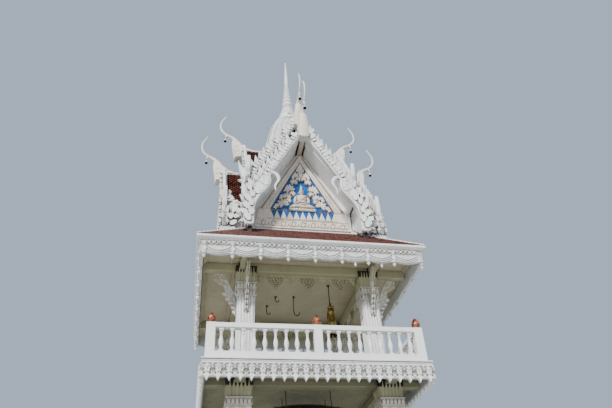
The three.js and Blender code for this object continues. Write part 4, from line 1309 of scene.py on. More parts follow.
class ModelGables(bpy.types.Operator):
    """The bargeboards of both tiers, with their leaf fins, curls and upright flames"""

    bl_idname = "bell_tower.gables"
    bl_label = "Gables"

    FIN = [(-0.1, -0.03), (-0.1, 0.04), (-0.115, 0.09), (-0.14, 0.135), (-0.172, 0.18), (-0.12, 0.158),
        (-0.065, 0.13), (-0.01, 0.108), (0.05, 0.09), (0.1, 0.07), (0.13, -0.03)]
    LOWER_INNER = [(0, 14.12), (0.39, 13.47), (0.72, 12.92), (0.93, 12.55), (1.02, 12.36), (1.05, 12.18),
        (1.04, 12.03), (1.08, 11.86), (1.22, 11.66), (1.38, 11.46), (1.48, 11.26), (1.53, 11.02),
        (1.54, 10.75), (1.55, 10.47), (1.62, 10.42)]
    LOWER_OUTER = [(1.78, 10.43), (1.85, 10.6), (1.84, 10.9), (1.8, 11.2), (1.745, 11.45), (1.66, 11.68),
        (1.5, 11.92), (1.36, 12.12), (1.25, 12.33), (1.18, 12.56), (0.85, 13.1), (0.45, 13.76),
        (0.06, 14.4), (0, 14.5)]
    # Middle of the roll and its half width.
    LOWER_ROLL = [(0, 14.22, 0.045), (0.26, 13.83, 0.048), (0.55, 13.28, 0.052), (0.84, 12.76, 0.056),
        (0.99, 12.5, 0.06), (1.09, 12.32, 0.064), (1.125, 12.17, 0.066), (1.105, 12.03, 0.066),
        (1.14, 11.87, 0.066), (1.26, 11.69, 0.064), (1.4, 11.5, 0.06), (1.5, 11.3, 0.055),
        (1.56, 11.08, 0.048), (1.58, 10.9, 0.036), (1.58, 10.7, 0.022)]
    LOWER_HOOK = [(1.07, 12.35, 0.07), (0.985, 12.35, 0.066), (0.895, 12.3, 0.064), (0.832, 12.19, 0.058),
        (0.828, 12.08, 0.046), (0.875, 11.98, 0.036), (0.935, 11.84, 0.032), (0.92, 11.68, 0.014)]
    LOWER_FLAMES = [
        [(1.63, 11.66), (1.66, 11.4), (1.7, 11.15), (1.79, 11.16), (1.86, 11.34), (1.9, 11.6),
            (1.905, 11.85), (1.885, 12.2), (1.85, 11.98), (1.8, 11.82), (1.73, 11.72)],
    ]
    # Leaves round the foot of the lower boards: root, lean from upright, length.
    LOWER_LEAVES = [(1.72, 11.42, 0.3, 0.4), (1.74, 11.2, 0.55, 0.36), (1.74, 10.98, 0.8, 0.34),
        (1.74, 10.78, 1.2, 0.32), (1.7, 10.62, 1.8, 0.3), (1.62, 10.6, 2.6, 0.24), (1.7, 11.55, 0.1, 0.42),
        (1.58, 11.78, 0.3, 0.38), (1.42, 12.02, 0.45, 0.32), (1.34, 12.2, 0.55, 0.26)]
    # Carved leaves on the face of the foot: root, lean, length.
    LOWER_CARVING = [(1.68, 10.52, 0.25, 0.3), (1.74, 10.72, 0.5, 0.28), (1.64, 10.72, -0.2, 0.28),
        (1.7, 10.92, 0.35, 0.3), (1.63, 11.04, -0.1, 0.26), (1.68, 11.2, 0.2, 0.3), (1.6, 11.36, -0.1, 0.26),
        (1.6, 11.56, 0.3, 0.26)]
    RETURN_LEAVES = [
        (0.06, 10.52, 0.3, 0.26), (0.2, 10.54, 0.5, 0.24), (0.1, 10.76, -0.2, 0.26),
        (0.24, 10.78, 0.5, 0.24), (0.06, 11.0, 0.2, 0.26), (0.22, 11.0, 0.1, 0.24), (0.33, 11.04, 0.6, 0.22),
        (0.12, 11.22, -0.3, 0.26), (0.28, 11.24, 0.3, 0.24), (0.4, 11.26, 0.7, 0.2),
    ]
    UPPER_INNER = [(0, 15.31), (0.42, 14.56), (1.0, 13.6), (1.35, 13.02), (1.56, 12.55), (1.605, 12.3),
        (1.605, 10.8)]
    UPPER_OUTER = [(1.74, 10.8), (1.742, 12.4), (1.735, 12.62), (1.7, 12.8), (1.64, 12.93), (1.56, 13.06),
        (1.15, 13.72), (0.6, 14.62), (0.06, 15.52), (0, 15.62)]
    UPPER_ROLL = [(0, 15.4, 0.045), (0.45, 14.64, 0.05), (1.02, 13.71, 0.055), (1.38, 13.1, 0.06),
        (1.58, 12.7, 0.06), (1.655, 12.35, 0.055), (1.66, 10.85, 0.045)]
    UPPER_LEAVES = [(1.66, 12.92, 0.35, 0.34), (1.72, 12.7, 0.75, 0.3), (1.72, 12.52, 1.25, 0.27),
        (1.7, 12.4, 1.8, 0.22)]
    UPPER_FLAMES = [
        [(1.58, 13.03), (1.62, 12.75), (1.68, 12.56), (1.78, 12.58), (1.87, 12.74), (1.94, 13.0),
            (1.985, 13.42), (1.91, 13.24), (1.83, 13.12), (1.74, 13.05)],
        [(1.52, 13.22), (1.53, 12.98), (1.6, 12.84), (1.7, 12.92), (1.76, 13.1), (1.785, 13.34),
            (1.72, 13.24), (1.62, 13.2)],
    ]

    # How deep the boards are, and where the leaves on the board and on the slope begin.
    LOWER_DEEP, LOWER_LEAVES_FROM, LOWER_FRINGE_FROM = 0.19, 11.4, 11.32
    UPPER_DEEP, UPPER_LEAVES_FROM, UPPER_FRINGE_FROM = 0.12, 12.6, 12.75
    # How far the fringe climbs the slope.
    FRINGE_RISE = 1.4

    def fins(self, look, line, middle):
        """Leaf fins down the outer edge of a board: the line runs down the slope."""
        size = look.fin / 0.17
        fin = lens([(u * size, v * size) for u, v in self.FIN], middle, 0.032, 0.012)
        rib = tube([(-0.005 * size, middle, -0.02), (-0.055 * size, middle, 0.07 * size),
            (-0.12 * size, middle, 0.14 * size)], [0.042, 0.036, 0.012], 6)
        return spread(joined([fin, rib]),
            [place @ spun(0.14) for place in along(line, look.fin_pitch, 0.26)])

    def leaf(self, root, lean, length, middle):
        """A flame-shaped leaf, seen from both sides."""
        wide = 0.2 * length
        outline = smooth([(-wide, 0), (-1.35 * wide, 0.22 * length), (-1.15 * wide, 0.5 * length),
            (-0.3 * wide, 0.76 * length), (0.55 * wide, length), (0.7 * wide, 0.72 * length),
            (1.25 * wide, 0.42 * length), (wide, 0)], 2)
        return moved(lens(outline, middle, 0.04, 0.016), shift(root[0], 0, root[1]) @ spun(lean, "Y"))

    def roll(self, stations, near):
        """A smooth roll along a line of (out, up, half width), flattened against the board."""
        line = smooth(stations, 3)
        body = rounded(tube([(u, near - 0.01, v) for u, v, r in line], [r for u, v, r in line], 10), 60)
        return moved(body, shift(y=near) @ along_y(0.6) @ shift(y=-near))

    def board(self, look, inner, outer, roll, flames, leaves, carving, lowest, near, far):
        """Half a bargeboard: a plain board, a smooth roll along its inner edge, and leaves outside it."""
        middle = (near + far) / 2
        inside, outside = smooth(inner, 2), smooth(outer, 2)
        parts = [plate([*inside, *outside[:-1]], near, far, 0.022), self.roll(roll, near)]
        down = [p for p in reversed(outside) if p[1] > lowest and p[0] > 0.03]
        parts.append(self.fins(look, down, middle - 0.02))
        fern = acanthus(1.0, 0.72, near, 0.035, 0.2)
        places = []
        for place in along([p[:2] for p in smooth(roll, 3)], 0.135, 0.08):
            root = place.translation
            if root.z > lowest:
                reach = min(dist((root.x, root.z), p) for p in outside) * 1.05
                places.append(place @ spun(-0.6, "Y") @ Matrix.Diagonal((reach, 1, reach, 1)))
        for u, v, lean, size in carving:
            places.append(leant(u, v, lean, size))
        parts.append(spread(fern, lapped(places)))
        for k, flame in enumerate(flames):
            outline = smooth([*flame, flame[0]], 2)[:-1]
            parts.append(lens(outline, middle - 0.03 * k, 0.05, 0.018))
        for k, (u, v, lean, size) in enumerate(leaves):
            parts.append(self.leaf((u, v), lean, size, middle - 0.02 * (k % 3)))
        return joined(parts)

    def returned(self, near):
        """The carved panel that turns back along the eave behind a lower board's foot, drawn facing +X."""
        outline = smooth([(0, 10.5), (0.2, 10.48), (0.28, 10.6), (0.3, 10.8), (0.36, 11.0), (0.42, 11.2),
            (0.46, 11.36), (0.42, 11.5), (0, 11.55)], 2)
        panel = plate(outline, -0.02, 0.02, 0.008)
        fern = acanthus(1.0, 0.72, -0.02, 0.045, 0.2)
        places = [leant(*leaf) for leaf in self.RETURN_LEAVES]
        carved = joined([panel, spread(fern, lapped(places))])
        return moved(carved, shift(1.78, near + 0.06) @ spun(QUARTER))

    def fringe(self, line, ridge, end, lowest):
        """Scrolls of leaves that lie on the right slope along its verge, in more rows towards the foot."""
        parts = []
        for (u0, d0), (u1, d1) in zip(line, line[1:]):
            head, foot = Vector((u0, 0, ridge + d0)), Vector((u1, 0, ridge + d1))
            lay = shift(y=-end) @ slope_frame(foot.x, foot.z, head.x, head.z)
            length = (head - foot).length
            count = round(length / 0.145)
            for k in range(count):
                at = (k + 0.5) * length / count
                level = foot.z + (head.z - foot.z) * at / length
                if not lowest <= level <= lowest + self.FRINGE_RISE:
                    continue
                wide = 0.08 + 0.34 * max(0.0, min(1.0, (lowest + 0.9 - level) / 0.5))
                rows = max(1, round(wide / 0.17))
                for m in range(rows):
                    if rows > 1 and (2 * k + 3 * m) % 5 == 0:
                        continue
                    size = 0.1 + wide / rows
                    leaf = acanthus(size, size * 0.62, -0.012, 0.045 + 0.014 * ((k + m) % 2), 0.15)
                    lean = 0.2 if m == rows - 1 and rows > 1 else 0.65 + 0.4 * ((k + m) % 3)
                    lie = spun(-lean) @ spun(-QUARTER, "X")
                    parts.append(moved(leaf, lay @ shift(-0.02 + m * wide / rows, at) @ lie))
        return joined(parts)

    def execute(self, context):
        look = context.scene.bell_tower
        near, far = -LOWER_END - self.LOWER_DEEP, -LOWER_END + 0.002
        half = self.board(look, self.LOWER_INNER, self.LOWER_OUTER, self.LOWER_ROLL, self.LOWER_FLAMES,
            self.LOWER_LEAVES, self.LOWER_CARVING, self.LOWER_LEAVES_FROM, near, far)
        hook = self.roll(self.LOWER_HOOK, near)
        fringe = self.fringe(EAVE_LINE, LOWER_RIDGE, LOWER_END, self.LOWER_FRINGE_FROM)
        lower = both_ways(joined([half, hook, fringe, self.returned(near)]))
        trimmed(lower, SKIRT_UNDER, SKIRT_DOWN)
        # The stump is painted shadow: the dark gap below the boards' feet.
        stump = both_ways(block((1.6, near + 0.09, 10.1), (1.72, far, 10.5)))
        trimmed(stump, SKIRT_UNDER, SKIRT_DOWN)
        lower = joined([coated(lower, "carved"), coated(stump, "hollow")])
        set_round(lower, "lower_gable", stands_for=True)
        near, far = -UPPER_END - self.UPPER_DEEP, -UPPER_END + 0.002
        half = self.board(look, self.UPPER_INNER, self.UPPER_OUTER, self.UPPER_ROLL, self.UPPER_FLAMES,
            self.UPPER_LEAVES, [], self.UPPER_LEAVES_FROM, near, far)
        fringe = self.fringe(ROOF_LINE, UPPER_RIDGE, UPPER_END, self.UPPER_FRINGE_FROM)
        upper = both_ways(joined([half, fringe]))
        set_round(coated(upper, "carved"), "upper_gable")
        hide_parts("upper_gables")
        return {"FINISHED"}


class ModelHorns(bpy.types.Operator):
    """The horn finials on the ends of the ridges, each with a small wind bell"""

    bl_idname = "bell_tower.horns"
    bl_label = "Horns"

    # Out from the root and up, and half the width there.
    NECK = [(0.03, 0.02, 0.1), (0.13, 0.16, 0.105), (0.24, 0.34, 0.09), (0.34, 0.5, 0.074),
        (0.48, 0.635, 0.06), (0.64, 0.725, 0.05), (0.78, 0.85, 0.042), (0.87, 1.02, 0.037),
        (0.888, 1.2, 0.034), (0.86, 1.38, 0.031), (0.8, 1.52, 0.028), (0.74, 1.62, 0.022),
        (0.725, 1.7, 0.013), (0.74, 1.74, 0.006)]
    CHEST = [(-0.03, -0.42), (0.2, -0.46), (0.31, -0.5), (0.365, -0.49), (0.375, -0.36), (0.4, -0.16),
        (0.44, 0.08), (0.46, 0.28), (0.445, 0.44), (0.39, 0.55), (0.33, 0.56), (0.24, 0.36),
        (0.11, 0.14), (-0.03, 0.0)]
    ROOT = 2.3

    def flared(self, piece):
        """The piece made broader towards its foot."""
        edit(piece)
        mesh = bmesh.from_edit_mesh(piece.data)
        for vertex in mesh.verts:
            if vertex.co.y < 0.02:
                vertex.co.x *= 1 + 1.3 * max(0.0, min(1.0, (0.7 - vertex.co.z) / 0.85))
        bmesh.update_edit_mesh(piece.data)
        settle()
        return piece

    def horn(self):
        neck = smooth([(0, -u, v) for u, v, r in self.NECK], 3)
        radii = [r for u, v, r in smooth([(u, v, r) for u, v, r in self.NECK], 3)]
        stem = rounded(tube(neck, radii, 10), 60)
        moved(stem, along_x(0.8))
        chest = lens(smooth([*self.CHEST, self.CHEST[0]], 2)[:-1], 0, 0.022, 0.05)
        moved(chest, spun(-QUARTER))
        shoulder = smooth([(0.33, 0.56), (0.23, 0.45), (0.14, 0.33), (0.05, 0.22), (-0.08, 0.13),
            (-0.3, 0.065)], 2)
        crest = lens([*shoulder, (-0.3, -0.06), (0.1, -0.08), (0.32, 0.1)], 0, 0.035, 0.03)
        moved(crest, spun(-QUARTER))
        beak = lens([(0.62, 0.7), (0.66, 0.63), (0.72, 0.61), (0.7, 0.68), (0.72, 0.76)], 0, 0.02, 0.008)
        moved(beak, spun(-QUARTER))
        lobes = []
        for u, v, lean, size in ((0.12, -0.4, 0.25, 0.24), (0.26, -0.42, 0.1, 0.26),
                (0.14, -0.18, 0.2, 0.24), (0.28, -0.18, 0.05, 0.26), (0.3, 0.06, 0.0, 0.24)):
            leaf = moved(acanthus(size, size * 0.62, -0.04, 0.022, 0.12), shift(-u, 0, v) @ spun(-lean, "Y"))
            lobes.append(moved(joined([leaf, copied(leaf, along_y(-1))]), spun(QUARTER)))
        return self.flared(joined([stem, chest, crest, beak, *lobes]))

    def wind_bell(self):
        at = -0.7
        cord = tube([(0, at, 0.74), (0, at, 0.5)], 0.006, 6)
        cap = turned([(0, 0.515), (0.018, 0.51), (0.034, 0.49), (0.042, 0.465), (0.042, 0.45), (0, 0.45)],
            10)
        skirt = turned([(0.0, 0.45), (0.043, 0.45), (0.05, 0.425), (0.056, 0.402), (0.049, 0.402),
            (0.04, 0.44), (0, 0.44)], 10)
        tongue = turned([(0, 0.395), (0.012, 0.4), (0.006, 0.42), (0.004, 0.45), (0, 0.45)], 6)
        dark = coated(rounded(joined([moved(skirt, shift(y=at)), moved(tongue, shift(y=at))])), "chime")
        pale = coated(rounded(joined([moved(cap, shift(y=at)), cord])), "white")
        return joined([pale, dark])

    def execute(self, context):
        horn, bell = coated(self.horn(), "horn"), self.wind_bell()
        for tier, place in (("lower", shift(y=-self.ROOT, z=LOWER_RIDGE)),
                ("upper", shift(y=-self.ROOT + 0.62, z=UPPER_RIDGE))):
            set_round(copied(horn, place), f"{tier}_horn")
            set_round(copied(bell, place), f"{tier}_wind_bell")
        discard(horn, bell)
        return {"FINISHED"}


class ModelPediments(bpy.types.Operator):
    """The pediments' relief: frame, azure ground, petals, scrolls and a seated figure"""

    bl_idname = "bell_tower.pediments"
    bl_label = "Pediments"

    FACE = -1.67
    GROUND = -1.635
    FIELD_HALF, FIELD_LOW, FIELD_TOP = 0.97, 11.575, 13.58
    # The figure's parts: place, width, height and depth from the middle, and lean.
    BODY = [
        (0, 11.73, 0.33, 0.085, 0.1), (0.19, 11.71, 0.18, 0.07, 0.12, 0.12),
        (-0.19, 11.71, 0.18, 0.07, 0.12, -0.12), (0.05, 11.775, 0.24, 0.045, 0.125, 0.08),
        (0, 11.9, 0.125, 0.13, 0.085), (0, 12.03, 0.165, 0.12, 0.09), (0, 12.115, 0.185, 0.05, 0.075),
        (0.185, 11.99, 0.045, 0.14, 0.065, -0.14), (-0.185, 11.99, 0.045, 0.14, 0.065, 0.14),
        (0.12, 11.84, 0.115, 0.036, 0.12, 0.32), (-0.12, 11.84, 0.115, 0.036, 0.12, -0.32),
        (0, 11.815, 0.075, 0.028, 0.145), (0, 12.175, 0.045, 0.05, 0.06),
    ]
    # Brow and eyelid: points of (across, behind the face's front, up), and half widths.
    EYES = [
        ([(0.01, 0.002, 12.297), (0.028, 0.004, 12.304), (0.048, 0.02, 12.293)], [0.004, 0.004, 0.003]),
        ([(0.012, 0.006, 12.277), (0.027, 0.006, 12.272), (0.043, 0.018, 12.278)], [0.003, 0.006, 0.003]),
    ]
    HEAD = [
        (0, 12.275, 0.068, 0.092, 0.085), (0, 12.355, 0.05, 0.04, 0.06), (0, 12.4, 0.03, 0.03, 0.04),
        (0.066, 12.255, 0.013, 0.042, 0.035), (-0.066, 12.255, 0.013, 0.042, 0.035),
    ]

    def slant(self, half, low, top):
        return [(half * (1 - k / 12), low + (top - low) * k / 12) for k in range(13)]

    def frame_work(self):
        """Ribs and rows of small petals round the field."""
        face = self.FACE
        parts = []
        for half, low, top, radius in ((1.3, 11.585, 13.97, 0.022), (1.235, 11.6, 13.83, 0.012),
                (1.035, 11.585, 13.68, 0.016)):
            parts.append(both_ways(tube(upright(self.slant(half, low, top), face - 0.004), radius, 6)))
        leaf = petal(0.034, [(-0.005, 0.7, 0.0), (0.03, 1.0, 0.014), (0.062, 0.75, 0.016),
            (0.09, 0.08, 0.006)], 0.008)
        for half, low, top, size in ((1.215, 11.6, 13.84, 1.25), (1.115, 11.6, 13.73, 1.15)):
            places = [p @ spun(pi, "Y") for p in along(list(reversed(self.slant(half, low, top))), 0.072)]
            row = spread(copied(leaf, Matrix.Scale(size, 4)), places)
            parts.append(both_ways(moved(row, shift(y=face))))
        discard(leaf)
        for low, high, out in ((10.895, 10.945, 0.03), (11.205, 11.235, 0.018), (11.56, 11.58, 0.02)):
            half = 1.44 - 0.1 * (low - 10.89) / 0.68
            parts.append(block((-half, face - out, low), (half, face + BITE, high), 0.008))
        return parts

    def lower_band(self):
        """White petals over the azure strip, and the scrolls below it."""
        face = self.FACE
        parts = []
        tooth = plate([(-0.098, 11.235), (0.098, 11.235), (0.068, 11.345), (0.026, 11.46), (0, 11.552),
            (-0.026, 11.46), (-0.068, 11.345)], face - 0.024, face + BITE, 0.008)
        parts.append(moved(repeated(tooth, 11, (0.196, 0, 0)), shift(-0.98)))
        unit = []
        for way in (-1, 1):
            unit.append(scroll((way * 0.075, 11.09), 0.055, 1.3, 0.014, 1.2, way, face - 0.004, 10))
            leaf = moved(acanthus(0.13, 0.09, face, 0.02, 0.2), spun(0.9, "Y"))
            unit.append(moved(moved(leaf, along_x(way)), shift(way * 0.06, 0, 11.0)))
        unit.append(moved(rosette(0.045, face, 6), shift(z=11.15)))
        unit.append(moved(acanthus(0.16, 0.11, face, 0.024), shift(z=10.965)))
        parts.append(moved(repeated(joined(unit), 9, (0.3, 0, 0)), shift(-1.2)))
        return parts

    def scrolls(self):
        """Fans of leaves with bosses round the figure, cut back to show a line of the ground."""
        ground = self.GROUND
        leaf = acanthus(0.235, 0.088, ground, 0.06, 0.2)
        boss = turned([(0.034, 0), (0.028, 0.018), (0, 0.026)], 8)
        moved(boss, shift(y=ground - 0.045) @ spun(QUARTER, "X"))
        leaves, bosses = [], []
        for u, v, lean, size in ((0.58, 11.8, 0.2, 0.95), (0.8, 11.68, 0.7, 0.62), (0.46, 12.08, -0.3, 0.7),
                (0.38, 12.38, 0.4, 0.95), (0.22, 12.68, 0.0, 0.6), (0.19, 12.92, 0.35, 0.85),
                (0.62, 12.04, 0.8, 0.6), (0.3, 12.2, -0.6, 0.5), (0.43, 11.92, -0.8, 0.45),
                (0.09, 12.8, -0.1, 0.45)):
            place = shift(u, -0.003 * len(bosses), v)
            bosses.append(place @ Matrix.Diagonal((size, 1, size, 1)))
            for n in range(7):
                fan = lean + 0.66 * (n - 3)
                reach = size * (1.06 - 0.09 * abs(n - 3))
                leaves.append(place @ shift(y=-0.006 * (n % 2)) @ spun(fan, "Y")
                    @ Matrix.Diagonal((size, 1, reach, 1)))
        side = both_ways(joined([spread(leaf, leaves), spread(boss, bosses)]))
        crown = [moved(acanthus(size, size * 0.6, ground, 0.06), shift(z=z) @ spun(lean, "Y")) for lean,
            size, z in ((0, 0.36, 13.12), (0, 0.26, 12.88), (-0.5, 0.24, 13.08), (0.5, 0.24, 13.08))]
        whole = joined([side, *crown])
        rise, edge = self.FIELD_TOP - self.FIELD_LOW, self.FIELD_HALF - 0.05
        trimmed(whole, (edge, 0, self.FIELD_LOW), (rise, 0, self.FIELD_HALF))
        trimmed(whole, (-edge, 0, self.FIELD_LOW), (-rise, 0, self.FIELD_HALF))
        return [whole]

    def figure(self):
        """A seated figure in low relief on a lotus seat, calm and upright, of textbook proportions."""
        ground = self.GROUND

        def lump(x, z, wide, tall, deep, lean=0.0):
            """An egg, sunk a little less than half into the ground."""
            settle()
            bpy.ops.mesh.primitive_uv_sphere_add(segments=16, ring_count=10, radius=1, location=(0, 0, 0))
            piece = bpy.context.object
            edit(piece)
            bpy.ops.mesh.bisect(plane_co=(0, 0.15, 0), plane_no=(0, 1, 0), clear_outer=True, use_fill=True)
            settle()
            place = shift(x, ground - 0.002, z) @ spun(lean, "Y")
            return moved(piece, place @ Matrix.Diagonal((wide, deep, tall, 1)))

        cushion = smooth([(-0.36, 11.56), (-0.375, 11.6), (-0.345, 11.635), (0, 11.64), (0.345, 11.635),
            (0.375, 11.6), (0.36, 11.56)], 2)
        seat = [plate(cushion, ground - 0.07, ground, 0.012)]
        seat_leaf = petal(0.04,
            [(0, 0.7, 0.0), (0.03, 1.0, 0.012), (0.055, 0.7, 0.014), (0.072, 0.08, 0.004)], 0.008)
        leaves = spread(seat_leaf, [shift(-0.32 + 0.08 * k, -0.004) for k in range(9)])
        seat.append(moved(leaves, shift(y=ground - 0.07, z=11.565)))
        body = [lump(*sizes) for sizes in self.BODY]
        sash = tube([(0.15, ground - 0.055, 12.13), (0.07, ground - 0.088, 12.04),
            (-0.03, ground - 0.09, 11.93), (-0.09, ground - 0.078, 11.84)], 0.01, 6)
        head = [lump(*sizes) for sizes in self.HEAD]
        outline = smooth([(-0.028, 12.41), (-0.03, 12.45), (-0.012, 12.5), (0, 12.58), (0.012, 12.5),
            (0.03, 12.45), (0.028, 12.41)], 2)
        flame = plate(outline, ground - 0.03, ground, 0.008)
        front = ground - 0.085
        face = [
            tube([(0, front + 0.004, 12.29), (0, front - 0.008, 12.27), (0, front - 0.012, 12.255)],
                [0.006, 0.008, 0.011], 6),
            tube([(-0.02, front + 0.006, 12.224), (0, front, 12.222), (0.02, front + 0.006, 12.224)],
                [0.003, 0.006, 0.003], 6),
        ]
        for way in (-1, 1):
            for line, radii in self.EYES:
                face.append(tube([(way * u, front + out, v) for u, out, v in line], radii, 6))
        curls = turned([(0, -0.006), (0.007, -0.004), (0.008, 0), (0.005, 0.006), (0, 0.007)], 6)
        moved(curls, spun(QUARTER, "X"))
        places = []
        for row, (level, half, deep) in enumerate(((12.325, 0.056, 0.068), (12.343, 0.05, 0.062),
                (12.361, 0.042, 0.056))):
            for k in range(7 - row):
                share = -1 + 2 * k / (6 - row)
                places.append(shift(half * share, ground - deep * cos(share), level))
        bodies = rounded(joined([*body, *head]), 70)
        whole = joined([*seat, bodies, sash, flame, *face, spread(curls, places)])
        moved(whole, shift(y=ground, z=11.56) @ Matrix.Diagonal((1.1, 1.2, 1.06, 1.0))
            @ shift(y=-ground, z=-11.56))
        return [whole]

    def execute(self, context):
        face, ground = self.FACE, self.GROUND
        relief = [*self.frame_work(), *self.lower_band(), *self.scrolls(), *self.figure()]
        relief = coated(joined(relief), "plaster")
        grooves = []
        # The grooves are painted shade: dark lines beside the rows of petals.
        for half, low, top in ((1.262, 11.6, 13.9), (1.165, 11.6, 13.79)):
            grooves.append(both_ways(tube(upright(self.slant(half, low, top), face + 0.005), 0.01, 6)))
        relief = joined([relief, coated(joined(grooves), "under_tiles")])
        set_round(relief, "pediment_relief")
        half, low, top = self.FIELD_HALF, self.FIELD_LOW, self.FIELD_TOP
        field = plate([(-half + 0.004, low + 0.003), (half - 0.004, low + 0.003), (0, top - 0.006)],
            ground - 0.003, ground + 0.004)
        strip = plate([(-half, 11.24), (half, 11.24), (half, 11.558), (-half, 11.558)],
            face - 0.004, face + 0.004)
        edge = self.slant(half + 0.004, low + 0.01, top + 0.01)
        rim = both_ways(tube(upright(edge, face - 0.01), 0.013, 6))
        set_round(coated(joined([field, strip, rim]), "azure"), "pediment_azure")
        line = block((-half, face - 0.026, 11.562), (half, face - 0.016, 11.576), 0.003)
        set_round(coated(line, "bud"), "pediment_line")
        return {"FINISHED"}


class ModelSpire(bpy.types.Operator):
    """The spire: stepped tiers with leaf antefixes, a bell-shaped foot, rings and a needle"""

    bl_idname = "bell_tower.spire"
    bl_label = "Spire"

    # Half width of the square part at each height.
    SQUARE = [(13.7, 1.0), (14.66, 1.0), (15.08, 0.935), (15.44, 0.86), (15.8, 0.785), (16.16, 0.695),
        (16.4, 0.6), (16.64, 0.49), (16.9, 0.385)]
    STEP = 0.158

    def half_at(self, level):
        for (z0, r0), (z1, r1) in zip(self.SQUARE, self.SQUARE[1:]):
            if level <= z1:
                return r0 + (r1 - r0) * (level - z0) / (z1 - z0)
        return self.SQUARE[-1][1]

    def plan(self):
        """A square of half width one with its corners stepped back twice."""
        quarter = [(1.0, -0.62), (1.0, 0.62), (0.91, 0.62), (0.91, 0.78), (0.82, 0.78), (0.82, 0.82),
            (0.78, 0.82), (0.78, 0.91), (0.62, 0.91)]
        return fourfold(quarter)

    def execute(self, context):
        stations = [(13.7, 1.0), (14.1, 1.0)]
        level = 14.12
        ledges = []
        while level < 16.8:
            half = self.half_at(level)
            stations += [(level, half), (level + self.STEP * 0.12, half + 0.028),
                (level + self.STEP * 0.42, half + 0.028), (level + self.STEP * 0.5, half - 0.006),
                (level + self.STEP * 0.95, half - 0.03)]
            ledges.append((level + self.STEP * 0.42, half))
            level += self.STEP
        tiers = raised(self.plan(), stations)
        leaf = petal(0.062, [(0, 0.85, 0), (0.055, 1.0, 0.014), (0.115, 0.7, 0.018), (0.17, 0.08, 0.0)],
            0.016, 0.5)
        parts = [tiers]
        for level, half in ledges:
            places = []
            for n in range(4):
                turn = spun(n * QUARTER)
                wide = half * 0.62
                count = 5 if half > 0.6 else 3
                for m in range(count):
                    at = -wide + 2 * wide * m / (count - 1)
                    places.append(turn @ shift(at, -half - 0.006, level) @ Matrix.Scale(0.72, 4))
                for way in (-1, 1):
                    places.append(turn @ shift(way * half * 0.74, -half * 0.91, level) @ spun(way * 0.4)
                        @ Matrix.Scale(0.8, 4))
                places.append(turn @ spun(QUARTER / 2) @ shift(0, -half * 1.2, level)
                    @ Matrix.Scale(1.15, 4))
            parts.append(spread(copied(leaf, shift()), places))
        discard(leaf)
        foot = [(0, 16.84), (0.41, 16.84), (0.415, 16.89), (0.38, 16.92), (0.395, 16.98), (0.365, 17.02),
            (0.37, 17.14), (0.352, 17.28), (0.33, 17.38), (0.305, 17.44), (0.315, 17.48), (0.285, 17.51),
            (0.292, 17.56), (0.262, 17.59), (0.27, 17.645), (0.24, 17.67), (0.246, 17.73), (0.218, 17.75),
            (0.225, 17.81), (0.2, 17.84)]
        rings = []
        level = 17.85
        for tall in (0.13, 0.24, 0.21, 0.175, 0.15, 0.13, 0.115, 0.1, 0.095, 0.09, 0.085):
            z0, level = level, level + tall
            radius = 0.214 - 0.126 * (z0 - 17.85) / 1.45
            rings += [(radius * 0.8, z0 + 0.02 * tall), (radius * 0.95, z0 + 0.14 * tall),
                (radius, z0 + 0.34 * tall), (radius * 0.98, z0 + 0.55 * tall),
                (radius * 0.84, z0 + 0.74 * tall), (radius * 0.78, z0 + 0.95 * tall)]
        needle = [(0.07, 19.39), (0.085, 19.45), (0.072, 19.62), (0.078, 19.66), (0.068, 19.71),
            (0.06, 19.9), (0.05, 20.15), (0.058, 20.18), (0.05, 20.21), (0.036, 20.45), (0.028, 20.62),
            (0.024, 20.655), (0.045, 20.675), (0.05, 20.7), (0.044, 20.725), (0.02, 20.75), (0.0, 20.76)]
        parts.append(rounded(turned([*foot, *rings, *needle], 20), 30))
        big = petal(0.065, [(0, 0.8, 0.0), (0.06, 1.0, 0.016), (0.12, 0.75, 0.01), (0.17, 0.08, -0.012)],
            0.014, 0.4)
        for count, start, out, level, size in ((16, 0, 0.37, 17.03, 1), (14, 0, 0.3, 17.46, 0.7),
                (16, 0.5, 0.405, 16.87, 0.8)):
            turns = [spun((k + start) * 2 * pi / count) for k in range(count)]
            leaf = copied(big, shift(0, -out, level) @ Matrix.Scale(size, 4))
            parts.append(spread(leaf, turns))
        discard(big)
        medal = moved(rosette(0.075, 0.0, 8, 0.03), shift(0, -0.335, 17.3) @ spun(-0.15, "X"))
        parts.append(all_round(medal))
        set_down(coated(joined(parts), "white"), "spire_work", ["spire"])
        rod = turned([(0, 20.74), (0.009, 20.75), (0.007, 20.86), (0.004, 20.895), (0, 20.898)], 8)
        set_down(coated(rounded(rod), "iron"), "spire_rod")
        return {"FINISHED"}


